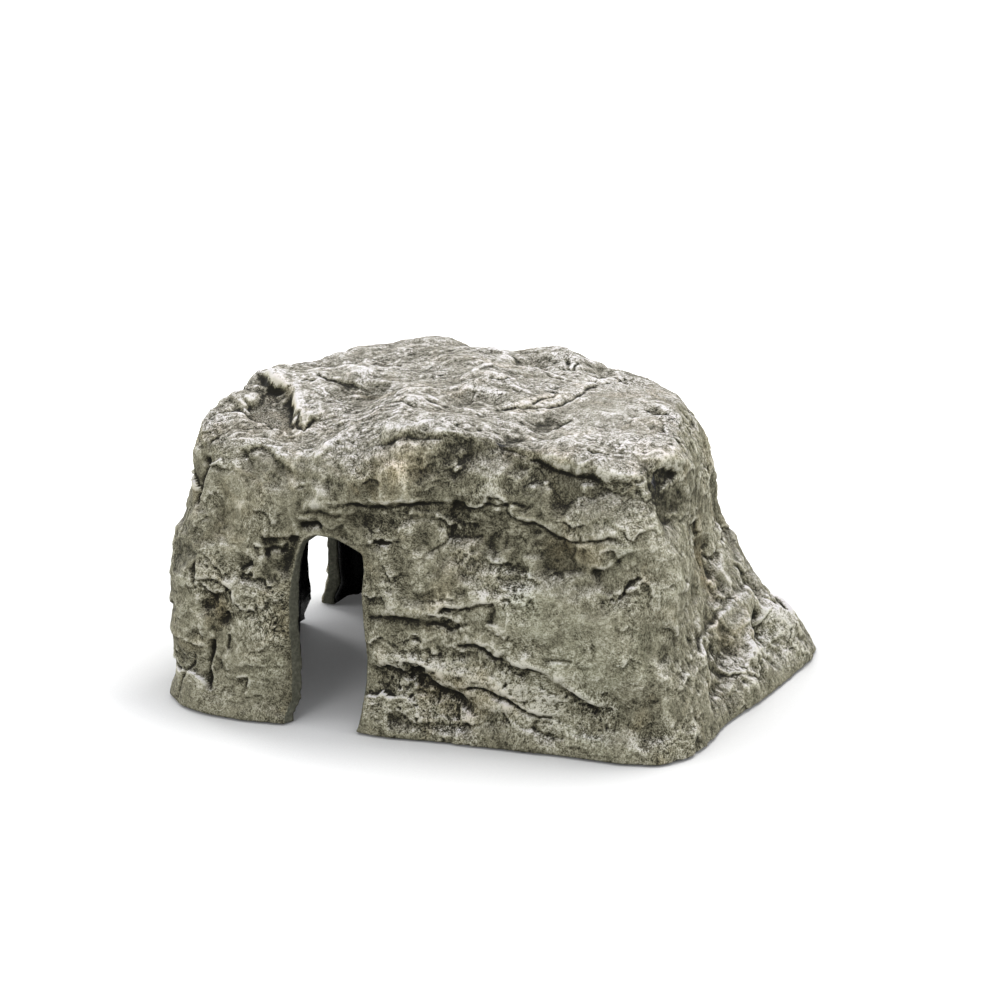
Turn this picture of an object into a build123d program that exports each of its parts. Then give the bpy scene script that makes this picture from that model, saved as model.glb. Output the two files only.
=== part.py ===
from build123d import *
import math
import os

# Hollow rock cave for an aquarium or pond: a stone-effect resin skin, a black laminate
# bonded inside it, and six pads under the rim.
# +Z is up, z = 0 is the floor under the pads, and the origin is under the middle of the rock.
# The front doorway faces -Y, near the left (-X) end. The side doorway faces -X, towards
# the back (+Y). All lengths are in millimetres.

# ---------------------------------------------------------------- walls and pads
SKIN_T = 6.6            # resin skin
LINER_T = 1.6           # backing laminate
WALL_T = SKIN_T + LINER_T
LINER_RIM_GAP = 1.5     # how far the laminate stops above the rim
CAVITY_OVERRUN = 6      # how far the inner blocks run below the rim, to cut it cleanly

PAD_R = 2.3
PAD_T = 1.5
PAD_CHAMFER = 0.2       # around the bottom edge
PAD_STAND = 0.5         # gap that the pads leave between the rim and the floor
PAD_INSET = 3.1         # from the rim's outer edge to the middle of a pad
POCKET_R = PAD_R + 0.1  # pocket for a pad in the rim's underside
POCKET_DEPTH = PAD_T - PAD_STAND

# Each pad sits at the middle of the foot's edge that starts at this index of FOOT.
PAD_EDGES = {
    "pad_front_left": 29,
    "pad_front_centre": 2,
    "pad_front_right": 5,
    "pad_rear_right": 12,
    "pad_rear_centre": 16,
    "pad_rear_left": 20,
}

# ---------------------------------------------------------------- rock shape
# Outline of the foot as (x, y), from the front doorway's right jamb, anticlockwise from above.
FOOT = [
    (-38.5, -99.5), (-13.5, -102.5), (26.5, -100.5), (66.5, -99.5),
    (95.5, -100.5), (111.5, -96.5), (120.5, -84.5), (125, -67.5),
    (127.5, -37.5), (133.5, -7.5), (139.5, 28.5), (144.5, 63.5),
    (143.5, 82.5), (132.5, 95.5), (99.5, 99.5), (64.5, 96.5),
    (24.5, 101.5), (-15.5, 98.5), (-50.5, 102.5), (-85.5, 101.5),
    (-104.5, 102.5), (-115.5, 90.5), (-118.5, 66.5), (-125.5, 39.5),
    (-129.5, 8.5), (-136.5, -26.5), (-141.5, -56.5), (-140.5, -78.5),
    (-129.5, -91.5), (-113.5, -98.5), (-94.5, -101.5), (-72.5, -100.5),
]
# Shoulder above each foot point as (x, y, z), where the walls turn over into the top.
SHOULDER = [
    (-38.5, -80.5, 132), (-14.5, -79.5, 144), (16.5, -75.5, 150), (52.5, -77.5, 141),
    (78.5, -78.5, 134), (93.5, -73.5, 134), (100.5, -63.5, 137), (101.5, -49.5, 139),
    (97.5, -27.5, 143), (93.5, -5.5, 145), (88.5, 16.5, 144), (83.5, 35.5, 140),
    (77.5, 51.5, 137), (67.5, 63.5, 138), (53.5, 69.5, 141), (38.5, 72.5, 143),
    (14.5, 76.5, 148), (-17.5, 76.5, 144), (-45.5, 76.5, 149), (-71.5, 72.5, 146),
    (-87.5, 68.5, 143), (-97.5, 56.5, 142), (-102.5, 38.5, 144), (-106.5, 20.5, 147),
    (-111.5, 2.5, 149), (-122.5, -21.5, 148), (-132.5, -43.5, 139), (-129.5, -61.5, 134),
    (-119.5, -71.5, 132), (-105.5, -76.5, 131), (-87.5, -79.5, 128), (-67.5, -79.5, 121),
]
# Spot heights across the top as (x, y, z).
SPOTS = [
    (-89.5, -59.5, 138), (-110.5, -21.5, 150), (-89.5, -44.5, 146), (-50.5, -67.5, 138),
    (-35.5, -35.5, 147), (-32.5, -63.5, 141), (-3.5, -25.5, 147), (20.5, -34.5, 146),
    (27.5, -15.5, 147), (41.5, -10.5, 145), (64.5, -3.5, 146), (74.5, -51.5, 139),
    (92.5, -36.5, 144), (86.5, -59.5, 137), (-40.5, 38.5, 153), (18.5, 47.5, 153),
    (55.5, 30.5, 143), (-12.5, 55.5, 146), (5.5, 41.5, 146), (34.5, 18.5, 145),
    (53.5, 20.5, 143), (-81.5, 40.5, 149), (-73.5, -1.5, 149), (-5.5, 8.5, 150),
    (-5.5, -61.5, 148), (44.5, -61.5, 143),
]
SPOT_SOFTENING = 60.0   # added to distance cubed, so that no spot height makes a spike

# Wall rings as shares of the way from foot to shoulder, and how far each face of the rock
# stands out from a straight wall at each ring.
WALL_RINGS = [0.03, 0.10, 0.24, 0.40, 0.57, 0.74, 0.89]
BULGE = {
    "front": [1.0, -2.5, -1.0, 2.0, 3.5, 2.5, 3.5],
    "front_right": [1.0, -1.5, 0.0, 2.5, 4.0, 4.0, 4.0],
    "right": [1.0, -3.0, -8.5, -13.5, -10.5, -4.0, 3.0],
    "back": [1.0, -2.5, 0.5, 4.0, 5.0, 5.0, 4.5],
    "left": [1.0, -2.0, 2.5, 5.5, 5.0, 3.0, 3.0],
    "front_left": [1.0, -4.0, -1.0, 6.5, 6.5, 0.0, 1.5],
}
# The face that each foot point belongs to.
FACE_OF = (
    ["front"] * 5 + ["front_right"] * 3 + ["right"] * 6 + ["back"] * 7
    + ["left"] * 4 + ["front_left"] * 4 + ["front"] * 3
)
# Top rings as shares of the way from the crown point out to the shoulder.
TOP_RINGS = [0.80, 0.52, 0.24]
CROWN_X, CROWN_Y = -9.5, -7.5

# ---------------------------------------------------------------- doorways
# Front doorway on the wall's raked face as (x, height up the face): its edge on the outside,
# then on the inside. It narrows going in, most of all on its left jamb.
FRONT_RAKE = 7.5        # degrees that the raked face leans back
FRONT_FOOT_Y = -99.5    # where the raked face meets the floor
FRONT_OUTSIDE = [
    (-73, -6), (-72.5, 30), (-72.5, 62), (-71.4, 74), (-70, 83), (-68, 90),
    (-62, 94), (-51.5, 93), (-43.5, 90), (-37, 87), (-35.9, 80), (-36.5, 66),
    (-35, 52), (-32.5, 38), (-32.5, 24), (-33.9, 12), (-37.5, -6),
]
FRONT_INSIDE = [
    (-68.5, -6), (-67.8, 30), (-67.6, 60), (-68.4, 71), (-69, 80), (-67.2, 88),
    (-61.5, 92.4), (-52, 91.2), (-45, 88.4), (-39.5, 85), (-38.6, 78), (-39.2, 66),
    (-38, 52), (-35.5, 38), (-35.5, 24), (-36.9, 12), (-40.5, -6),
]
FRONT_CENTRE = (-55.5, 30)  # the outline grows away from here
FRONT_TRIM = 3.0        # how far the laminate stops short of the edge
MOUTH_OUT = 3.0         # the tapered cut starts this far outside the raked face
THROAT_IN = 10.0        # and ends this far inside it
MOUTH_CUT = 20          # straight cut outwards from the mouth
THROAT_CUT = 28         # straight cut inwards from the throat

# Side doorway as (y, z), cut straight along X.
SIDE = [
    (44, -5), (42, 8), (40.5, 18), (40.5, 36), (42, 60), (46, 78),
    (54, 84), (62.5, 80), (68.5, 62), (69.8, 36), (70, 18), (72.5, -5),
]
SIDE_CENTRE = (56, 30)
SIDE_TRIM = 0.6
SIDE_START_X = -160     # the cut starts clear of the rock
SIDE_CUT = 80

rake = math.radians(FRONT_RAKE)
FRONT_PLANE = Plane(
    origin=(0, FRONT_FOOT_Y, 0),
    x_dir=(1, 0, 0),
    z_dir=(0, -math.cos(rake), math.sin(rake)),
)
# Local x runs towards -Y on this plane.
SIDE_PLANE = Plane(origin=(SIDE_START_X, 0, 0), x_dir=(0, -1, 0), z_dir=(-1, 0, 0))


# ---------------------------------------------------------------- faceted rock
def outward(start, end):
    """Unit normal to the right of start-end, which is outwards on an anticlockwise outline."""
    run_x, run_y = end[0] - start[0], end[1] - start[1]
    length = math.hypot(run_x, run_y)
    return run_y / length, -run_x / length


def height_at(x, y):
    """Height of the top, as a distance-weighted mean of spot heights and shoulder points."""
    total = weights = 0.0
    for spot_x, spot_y, spot_z in SPOTS + SHOULDER:
        weight = 1.0 / (math.hypot(x - spot_x, y - spot_y) ** 3 + SPOT_SOFTENING)
        total += weight * spot_z
        weights += weight
    return total / weights


def wall_ring(level):
    """One ring between foot and shoulder, its bulge averaged over neighbouring points."""
    count = len(FOOT)
    share = WALL_RINGS[level]
    ring = []
    for j in range(count):
        normal_x, normal_y = outward(FOOT[j - 1], FOOT[(j + 1) % count])
        bulge = sum(BULGE[FACE_OF[(j + step) % count]][level] for step in (-1, 0, 1)) / 3
        straight = Vector(*FOOT[j], PAD_STAND) * (1 - share) + Vector(*SHOULDER[j]) * share
        ring.append(straight + Vector(normal_x, normal_y, 0) * bulge)
    return ring


def top_ring(share):
    """One ring across the top, between the crown and the shoulder."""
    ring = []
    for shoulder_x, shoulder_y, _ in SHOULDER:
        x = CROWN_X + (shoulder_x - CROWN_X) * share
        y = CROWN_Y + (shoulder_y - CROWN_Y) * share
        ring.append(Vector(x, y, height_at(x, y)))
    return ring


def rock_points():
    """Points of the outer face, keyed (ring, place in ring) from the foot up, and "crown"."""
    rings = [[Vector(x, y, PAD_STAND) for x, y in FOOT]]
    rings += [wall_ring(level) for level in range(len(WALL_RINGS))]
    rings.append([Vector(*point) for point in SHOULDER])
    rings += [top_ring(share) for share in TOP_RINGS]
    points = {(k, j): point for k, ring in enumerate(rings) for j, point in enumerate(ring)}
    points["crown"] = Vector(CROWN_X, CROWN_Y, height_at(CROWN_X, CROWN_Y))
    return points


def rock_triangles():
    """Key triples of the rock's facets, each counted anticlockwise from outside."""
    count = len(FOOT)
    last_ring = len(WALL_RINGS) + 1 + len(TOP_RINGS)
    triangles = []
    for k in range(last_ring):
        for j in range(count):
            beside = (j + 1) % count
            low, low_next = (k, j), (k, beside)
            high, high_next = (k + 1, j), (k + 1, beside)
            # The diagonal switches from one quad to the next.
            if (j + k) % 2:
                triangles += [(low, low_next, high_next), (low, high_next, high)]
            else:
                triangles += [(low, low_next, high), (low_next, high_next, high)]
    for j in range(count):
        triangles.append(((last_ring, j), (last_ring, (j + 1) % count), "crown"))
    return triangles


def rock_solid(inset, floor):
    """Closed faceted rock: the outer face moved inwards by inset, its foot put at floor."""
    points = rock_points()
    triangles = rock_triangles()
    normals = {key: Vector(0, 0, 0) for key in points}
    for triangle in triangles:
        first, second, third = (points[key] for key in triangle)
        facet_normal = (second - first).cross(third - first)
        for key in triangle:
            normals[key] += facet_normal

    moved = {}
    for key, point in points.items():
        normal = normals[key]
        # The foot and the ring above it move in level.
        if key != "crown" and key[0] <= 1:
            normal = Vector(normal.X, normal.Y, 0)
        moved[key] = point - normal.normalized() * inset
    foot_keys = [(0, j) for j in range(len(FOOT))]
    for key in foot_keys:
        moved[key] = Vector(moved[key].X, moved[key].Y, floor)

    # The underside is one polygon, turned to face down.
    outlines = triangles + [foot_keys[::-1]]
    return Solid(Shell([
        Face(Wire.make_polygon([moved[key] for key in outline], close=True))
        for outline in outlines
    ]))


# ---------------------------------------------------------------- doorway cutters
def front_outline(depth):
    """Front doorway's outline at a depth behind the raked face, along its taper."""
    share = depth / WALL_T
    return [
        (out_x + (in_x - out_x) * share, out_z + (in_z - out_z) * share)
        for (out_x, out_z), (in_x, in_z) in zip(FRONT_OUTSIDE, FRONT_INSIDE)
    ]


def grown(points, margin, centre):
    """An outline moved outwards from centre; points below the centre only move sideways."""
    moved = []
    for x, z in points:
        dx, dz = x - centre[0], max(z - centre[1], 0.0)
        length = math.hypot(dx, dz)
        moved.append((x + margin * dx / length, z + margin * dz / length))
    return moved


def outline_sketch(plane, points):
    with BuildSketch(plane) as outline:
        with BuildLine():
            Polyline(*points, close=True)
        make_face()
    return outline.sketch


def doorway_sketches(front_margin, side_margin):
    """Front mouth, front throat and side doorway, each grown by its margin."""
    mouth, throat = (
        outline_sketch(
            FRONT_PLANE.offset(-depth),
            grown(front_outline(depth), front_margin, FRONT_CENTRE),
        )
        for depth in (-MOUTH_OUT, THROAT_IN)
    )
    side_points = grown(SIDE, side_margin, SIDE_CENTRE)
    side = outline_sketch(SIDE_PLANE, [(-y, z) for y, z in side_points])
    return mouth, throat, side


def cut_doorways(mouth, throat, side):
    """Cut both doorways from the part being built."""
    loft([mouth, throat], ruled=True, mode=Mode.SUBTRACT)
    extrude(mouth, amount=MOUTH_CUT, mode=Mode.SUBTRACT)
    extrude(throat, amount=-THROAT_CUT, mode=Mode.SUBTRACT)
    extrude(side, amount=-SIDE_CUT, mode=Mode.SUBTRACT)


# ---------------------------------------------------------------- pieces
def pad_place(edge):
    """Plan position of a pad, set in from the middle of one edge of the foot."""
    start, end = FOOT[edge], FOOT[(edge + 1) % len(FOOT)]
    normal_x, normal_y = outward(start, end)
    return (
        (start[0] + end[0]) / 2 - normal_x * PAD_INSET,
        (start[1] + end[1]) / 2 - normal_y * PAD_INSET,
    )


def make_skin(outer_block, joint_block, pad_places):
    doorways = doorway_sketches(0.0, 0.0)
    with BuildPart() as skin:
        add(outer_block)
        add(joint_block, mode=Mode.SUBTRACT)
        cut_doorways(*doorways)
        with BuildSketch(Plane.XY.offset(PAD_STAND)):
            with Locations(*pad_places):
                Circle(POCKET_R)
        extrude(amount=POCKET_DEPTH, mode=Mode.SUBTRACT)
    return skin.part


def make_laminate(joint_block, cave_block):
    doorways = doorway_sketches(FRONT_TRIM, SIDE_TRIM)
    with BuildPart() as laminate:
        add(joint_block)
        add(cave_block, mode=Mode.SUBTRACT)
        split(bisect_by=Plane.XY.offset(PAD_STAND + LINER_RIM_GAP), keep=Keep.TOP)
        cut_doorways(*doorways)
    return laminate.part


def make_pad(place):
    with BuildPart() as pad:
        with BuildSketch():
            with Locations(place):
                Circle(PAD_R)
        extrude(amount=PAD_T)
        chamfer(pad.edges().group_by(Axis.Z)[0], length=PAD_CHAMFER)
    return pad.part


# The walls' three faceted surfaces: outside, skin to laminate, and inside the cave.
outer_block = rock_solid(0.0, PAD_STAND)
joint_block = rock_solid(SKIN_T, PAD_STAND - CAVITY_OVERRUN)
cave_block = rock_solid(WALL_T, PAD_STAND - CAVITY_OVERRUN)

pad_places = {name: pad_place(edge) for name, edge in PAD_EDGES.items()}
pieces = {
    "stone_skin": make_skin(outer_block, joint_block, pad_places.values()),
    "backing_laminate": make_laminate(joint_block, cave_block),
}
for name, place in pad_places.items():
    pieces[name] = make_pad(place)

os.makedirs("parts", exist_ok=True)
for name, piece in pieces.items():
    piece.label = name
    export_step(piece, os.path.join("parts", name + ".step"))
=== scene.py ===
"""Hollow rock cave with doorways, open underneath, standing on soft pads.

The front faces -Y, the right side +X and the top +Z; the floor is at z = 0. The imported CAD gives
the shell, its doorways and its size. This script carves the cast stone relief into the shell's
outer face, lumps the black backing inside and finishes every surface.
Lengths are in millimetres, except in the light, floor and camera sections, which are in metres.
"""

import math
from itertools import product
from typing import NamedTuple

import bmesh
import bpy
import numpy as np
from mathutils import Matrix, Vector
from mathutils.bvhtree import BVHTree


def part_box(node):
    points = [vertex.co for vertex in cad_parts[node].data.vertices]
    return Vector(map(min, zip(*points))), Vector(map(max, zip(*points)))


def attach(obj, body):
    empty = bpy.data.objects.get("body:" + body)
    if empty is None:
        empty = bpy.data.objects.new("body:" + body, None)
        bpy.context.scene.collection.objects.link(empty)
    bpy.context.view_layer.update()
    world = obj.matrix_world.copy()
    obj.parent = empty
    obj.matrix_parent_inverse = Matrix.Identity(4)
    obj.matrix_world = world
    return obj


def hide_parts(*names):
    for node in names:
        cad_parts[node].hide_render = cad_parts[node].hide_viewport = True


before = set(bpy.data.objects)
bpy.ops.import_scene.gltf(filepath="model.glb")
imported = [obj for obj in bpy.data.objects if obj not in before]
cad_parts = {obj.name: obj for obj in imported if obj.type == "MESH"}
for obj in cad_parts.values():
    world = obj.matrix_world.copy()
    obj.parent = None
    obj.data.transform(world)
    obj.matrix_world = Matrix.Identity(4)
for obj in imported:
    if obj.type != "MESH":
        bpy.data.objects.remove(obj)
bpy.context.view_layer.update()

MM = 0.001  # metres in a millimetre
VOXEL = 0.9  # mesh size of the stone skin
RIM_Z = 0.5  # the rim's underside
RIM_TOP = 0.9  # below this a point belongs to the rim's underside

# ---------------------------------------------------------------- the outer face, as in the CAD
# x, y of the rock's foot, counter-clockwise from the front
FOOT = [
    (-38.5, -99.5), (-13.5, -102.5), (26.5, -100.5), (66.5, -99.5), (95.5, -100.5),
    (111.5, -96.5), (120.5, -84.5), (125, -67.5), (127.5, -37.5), (133.5, -7.5), (139.5, 28.5),
    (144.5, 63.5), (143.5, 82.5), (132.5, 95.5), (99.5, 99.5), (64.5, 96.5), (24.5, 101.5),
    (-15.5, 98.5), (-50.5, 102.5), (-85.5, 101.5), (-104.5, 102.5), (-115.5, 90.5),
    (-118.5, 66.5), (-125.5, 39.5), (-129.5, 8.5), (-136.5, -26.5), (-141.5, -56.5),
    (-140.5, -78.5), (-129.5, -91.5), (-113.5, -98.5), (-94.5, -101.5), (-72.5, -100.5),
]
# x, y, z of the edge between walls and top, one point above each point of the foot
SHOULDER = [
    (-38.5, -80.5, 132), (-14.5, -79.5, 144), (16.5, -75.5, 150), (52.5, -77.5, 141),
    (78.5, -78.5, 134), (93.5, -73.5, 134), (100.5, -63.5, 137), (101.5, -49.5, 139),
    (97.5, -27.5, 143), (93.5, -5.5, 145), (88.5, 16.5, 144), (83.5, 35.5, 140),
    (77.5, 51.5, 137), (67.5, 63.5, 138), (53.5, 69.5, 141), (38.5, 72.5, 143),
    (14.5, 76.5, 148), (-17.5, 76.5, 144), (-45.5, 76.5, 149), (-71.5, 72.5, 146),
    (-87.5, 68.5, 143), (-97.5, 56.5, 142), (-102.5, 38.5, 144), (-106.5, 20.5, 147),
    (-111.5, 2.5, 149), (-122.5, -21.5, 148), (-132.5, -43.5, 139), (-129.5, -61.5, 134),
    (-119.5, -71.5, 132), (-105.5, -76.5, 131), (-87.5, -79.5, 128), (-67.5, -79.5, 121),
]
# x, y, z of known heights on the top
SPOTS = [
    (-89.5, -59.5, 138), (-110.5, -21.5, 150), (-89.5, -44.5, 146), (-50.5, -67.5, 138),
    (-35.5, -35.5, 147), (-32.5, -63.5, 141), (-3.5, -25.5, 147), (20.5, -34.5, 146),
    (27.5, -15.5, 147), (41.5, -10.5, 145), (64.5, -3.5, 146), (74.5, -51.5, 139),
    (92.5, -36.5, 144), (86.5, -59.5, 137), (-40.5, 38.5, 153), (18.5, 47.5, 153),
    (55.5, 30.5, 143), (-12.5, 55.5, 146), (5.5, 41.5, 146), (34.5, 18.5, 145),
    (53.5, 20.5, 143), (-81.5, 40.5, 149), (-73.5, -1.5, 149), (-5.5, 8.5, 150),
    (-5.5, -61.5, 148), (44.5, -61.5, 143),
]
# wall rings, as shares of the way from foot to shoulder, and how far each face bulges there
WALL_RINGS = [0.03, 0.10, 0.24, 0.40, 0.57, 0.74, 0.89]
BULGE = {
    "front": [1.0, -2.5, -1.0, 2.0, 3.5, 2.5, 3.5],
    "corner": [1.0, -1.5, 0.0, 2.5, 4.0, 4.0, 4.0],
    "right": [1.0, -3.0, -8.5, -13.5, -10.5, -4.0, 3.0],
    "back": [1.0, -2.5, 0.5, 4.0, 5.0, 5.0, 4.5],
    "left": [1.0, -2.0, 2.5, 5.5, 5.0, 3.0, 3.0],
    "front_left": [1.0, -4.0, -1.0, 6.5, 6.5, 0.0, 1.5],
}
# the face each point of the foot belongs to
FACE_OF = (
    ["front"] * 5 + ["corner"] * 3 + ["right"] * 6 + ["back"] * 7
    + ["left"] * 4 + ["front_left"] * 4 + ["front"] * 3
)
TOP_RINGS = [0.80, 0.52, 0.24]  # shares of the way from crown to shoulder
CROWN = (-9.5, -7.5)


def height_at(x, y):
    """Height of the top, weighted towards the nearest known heights."""
    total = weight = 0.0
    for spot_x, spot_y, spot_z in SPOTS + SHOULDER:
        share = 1.0 / (((x - spot_x) ** 2 + (y - spot_y) ** 2) ** 1.5 + 60.0)
        total += share * spot_z
        weight += share
    return total / weight


def wall_point(j, ring, share):
    """A point of a wall ring, bulged outward by the mean of three neighbouring faces."""
    count = len(FOOT)
    (foot_x, foot_y), (top_x, top_y, top_z) = FOOT[j], SHOULDER[j]
    before, after = FOOT[j - 1], FOOT[(j + 1) % count]
    along_x, along_y = after[0] - before[0], after[1] - before[1]
    length = math.hypot(along_x, along_y)
    out_x, out_y = along_y / length, -along_x / length
    bulge = sum(BULGE[FACE_OF[(j + step) % count]][ring] for step in (-1, 0, 1)) / 3
    return (
        foot_x + (top_x - foot_x) * share + out_x * bulge,
        foot_y + (top_y - foot_y) * share + out_y * bulge,
        RIM_Z + (top_z - RIM_Z) * share,
    )


def outer_face():
    """Points and triangles of the shell's outer face."""
    count = len(FOOT)
    rings = [[(x, y, RIM_Z) for x, y in FOOT]]
    for ring, share in enumerate(WALL_RINGS):
        rings.append([wall_point(j, ring, share) for j in range(count)])
    rings.append(SHOULDER)
    for share in TOP_RINGS:
        ring = []
        for top_x, top_y, _ in SHOULDER:
            x, y = CROWN[0] + (top_x - CROWN[0]) * share, CROWN[1] + (top_y - CROWN[1]) * share
            ring.append((x, y, height_at(x, y)))
        rings.append(ring)
    points = [p for ring in rings for p in ring] + [(*CROWN, height_at(*CROWN))]
    tris = []
    for k in range(len(rings) - 1):
        for j in range(count):
            a, b = k * count + j, k * count + (j + 1) % count
            c, d = b + count, a + count
            tris += [(a, b, c), (a, c, d)] if (j + k) % 2 else [(a, b, d), (b, c, d)]
    last = (len(rings) - 1) * count
    tris += [(last + j, last + (j + 1) % count, len(points) - 1) for j in range(count)]
    return points, tris


face_points, face_triangles = outer_face()
face_tree = BVHTree.FromPolygons([Vector(p) for p in face_points], face_triangles)


def depth_below_face(points):
    """Distance of each point from the outer face."""
    return np.array([face_tree.find_nearest(p)[3] for p in points.tolist()])


# ---------------------------------------------------------------- noise on arrays of points
LATTICE = 32  # cells before the noise repeats, a power of two
WRAP = LATTICE - 1  # bit mask that wraps a cell's index
rng = np.random.default_rng(11)
GRADIENT = rng.normal(size=(LATTICE, LATTICE, LATTICE, 3))
GRADIENT = (GRADIENT / np.linalg.norm(GRADIENT, axis=3, keepdims=True)).astype(np.float32)
JITTER = rng.random(size=(LATTICE, LATTICE, LATTICE, 3)).astype(np.float32)


def noise(points, scale, seed):
    """Gradient noise, about -1 to 1, with features of about the given size."""
    shift = np.array([seed * 7.31 + 3.7, seed * 3.17 + 9.1, seed * 5.93 + 1.3])
    q = (points / scale + shift).astype(np.float32)
    floor = np.floor(q)
    f = q - floor
    cell = floor.astype(np.int32)
    fade = f * f * f * (f * (f * 6 - 15) + 10)
    sides = (1 - fade, fade)
    out = np.zeros(len(points), np.float32)
    for dx, dy, dz in product((0, 1), repeat=3):
        i, j, k = ((cell + np.array([dx, dy, dz], np.int32)) & WRAP).T
        g = GRADIENT[i, j, k]
        dot = g[:, 0] * (f[:, 0] - dx) + g[:, 1] * (f[:, 1] - dy) + g[:, 2] * (f[:, 2] - dz)
        out += sides[dx][:, 0] * sides[dy][:, 1] * sides[dz][:, 2] * dot
    return out * 1.7


def fbm(points, scale, octaves, seed):
    """Noise summed over octaves, each half the size and strength of the last."""
    total, strength, full = 0.0, 1.0, 0.0
    for k in range(octaves):
        total = total + strength * noise(points, scale / 2**k, seed + 13 * k)
        full += strength
        strength *= 0.5
    return total / full


def ridged(points, scale, octaves, seed):
    """Sharp crests and round hollows, 0 to 1."""
    total, strength, full, previous = 0.0, 1.0, 0.0, 1.0
    for k in range(octaves):
        crest = (1 - np.abs(noise(points, scale / 2**k, seed + 17 * k))) ** 2
        total = total + strength * crest * previous
        previous = np.clip(crest * 1.4, 0, 1)
        full += strength
        strength *= 0.5
    return total / full


def facets(points, scale, seed):
    """Tilted planes that meet in sharp ridges. About -0.5 to 0.5."""
    q = (points / scale + np.array([seed * 1.37, seed * 2.91, seed * 3.33])).astype(np.float32)
    base = np.floor(q).astype(np.int32)
    low = np.full(len(points), 9.0, np.float32)
    for step in product((-1, 0, 1), repeat=3):
        cell = base + np.array(step, np.int32)
        i, j, k = (cell & WRAP).T
        offset = q - (cell + JITTER[i, j, k])
        bowl = 0.55 * (offset**2).sum(1)
        tilt = 0.6 * (offset * GRADIENT[i, j, k]).sum(1)
        lift = 0.25 * (JITTER[j, k, i][:, 1] - 0.5)
        low = np.minimum(low, bowl + tilt + lift)
    return low + 0.12


def stretched(points, direction, factor):
    """Points squeezed along a direction, so that noise on them runs along it."""
    d = np.array(direction, float)
    d /= np.linalg.norm(d)
    return points - (1 - 1 / factor) * (points @ d)[:, None] * d


def smooth_step(x, low, high):
    """0 below low, 1 above high and an S curve between."""
    t = np.clip((x - low) / (high - low), 0, 1)
    return t * t * (3 - 2 * t)


def bell(distance, width, power=2):
    """1 at no distance, falling off over the width."""
    return np.exp(-((distance / width) ** power))


# ---------------------------------------------------------------- mesh helpers
def link(ob):
    bpy.context.scene.collection.objects.link(ob)
    return ob


def read_mesh(me):
    """Points, edges and triangles of a mesh."""
    points = np.empty(len(me.vertices) * 3, np.float32)
    me.vertices.foreach_get("co", points)
    edges = np.empty(len(me.edges) * 2, np.int32)
    me.edges.foreach_get("vertices", edges)
    me.calc_loop_triangles()
    tris = np.empty(len(me.loop_triangles) * 3, np.int32)
    me.loop_triangles.foreach_get("vertices", tris)
    points = points.reshape(-1, 3).astype(np.float64) / MM
    return points, edges.reshape(-1, 2), tris.reshape(-1, 3)


def write_points(me, points):
    me.vertices.foreach_set("co", (points * MM).astype(np.float32).ravel())
    me.update()


def shade_smooth(me):
    me.polygons.foreach_set("use_smooth", np.ones(len(me.polygons), bool))


def spreader(edges, count):
    """A function that averages values over neighbouring vertices."""
    a, b = edges[:, 0], edges[:, 1]
    degree = np.maximum(np.bincount(edges.ravel(), minlength=count), 1)

    def spread(values, times, hold=None):
        """hold is how much of its own value each vertex keeps."""
        out = values.astype(np.float64)
        flat = out.ndim == 1
        if flat:
            out = out[:, None]
        keep = None if hold is None else hold[:, None]
        for _ in range(times):
            mean = np.empty_like(out)
            for c in range(out.shape[1]):
                column = out[:, c]
                total = np.bincount(a, column[b], count) + np.bincount(b, column[a], count)
                mean[:, c] = total / degree
            new = 0.35 * out + 0.65 * mean
            out = new if keep is None else out * keep + new * (1 - keep)
        return out[:, 0] if flat else out

    return spread


def normals_of(points, tris):
    """Vertex normals, weighted by triangle area."""
    a, b, c = points[tris[:, 0]], points[tris[:, 1]], points[tris[:, 2]]
    face_normals = np.cross(b - a, c - a)
    normals = np.zeros_like(points)
    for corner in range(3):
        for axis in range(3):
            normals[:, axis] += np.bincount(
                tris[:, corner], face_normals[:, axis], len(points)
            )
    return normals / (np.linalg.norm(normals, axis=1, keepdims=True) + 1e-12)


# ---------------------------------------------------------------- listed relief
class Feature(NamedTuple):
    kind: str
    points: list
    width: float
    height: float
    reach: float = 0


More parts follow.
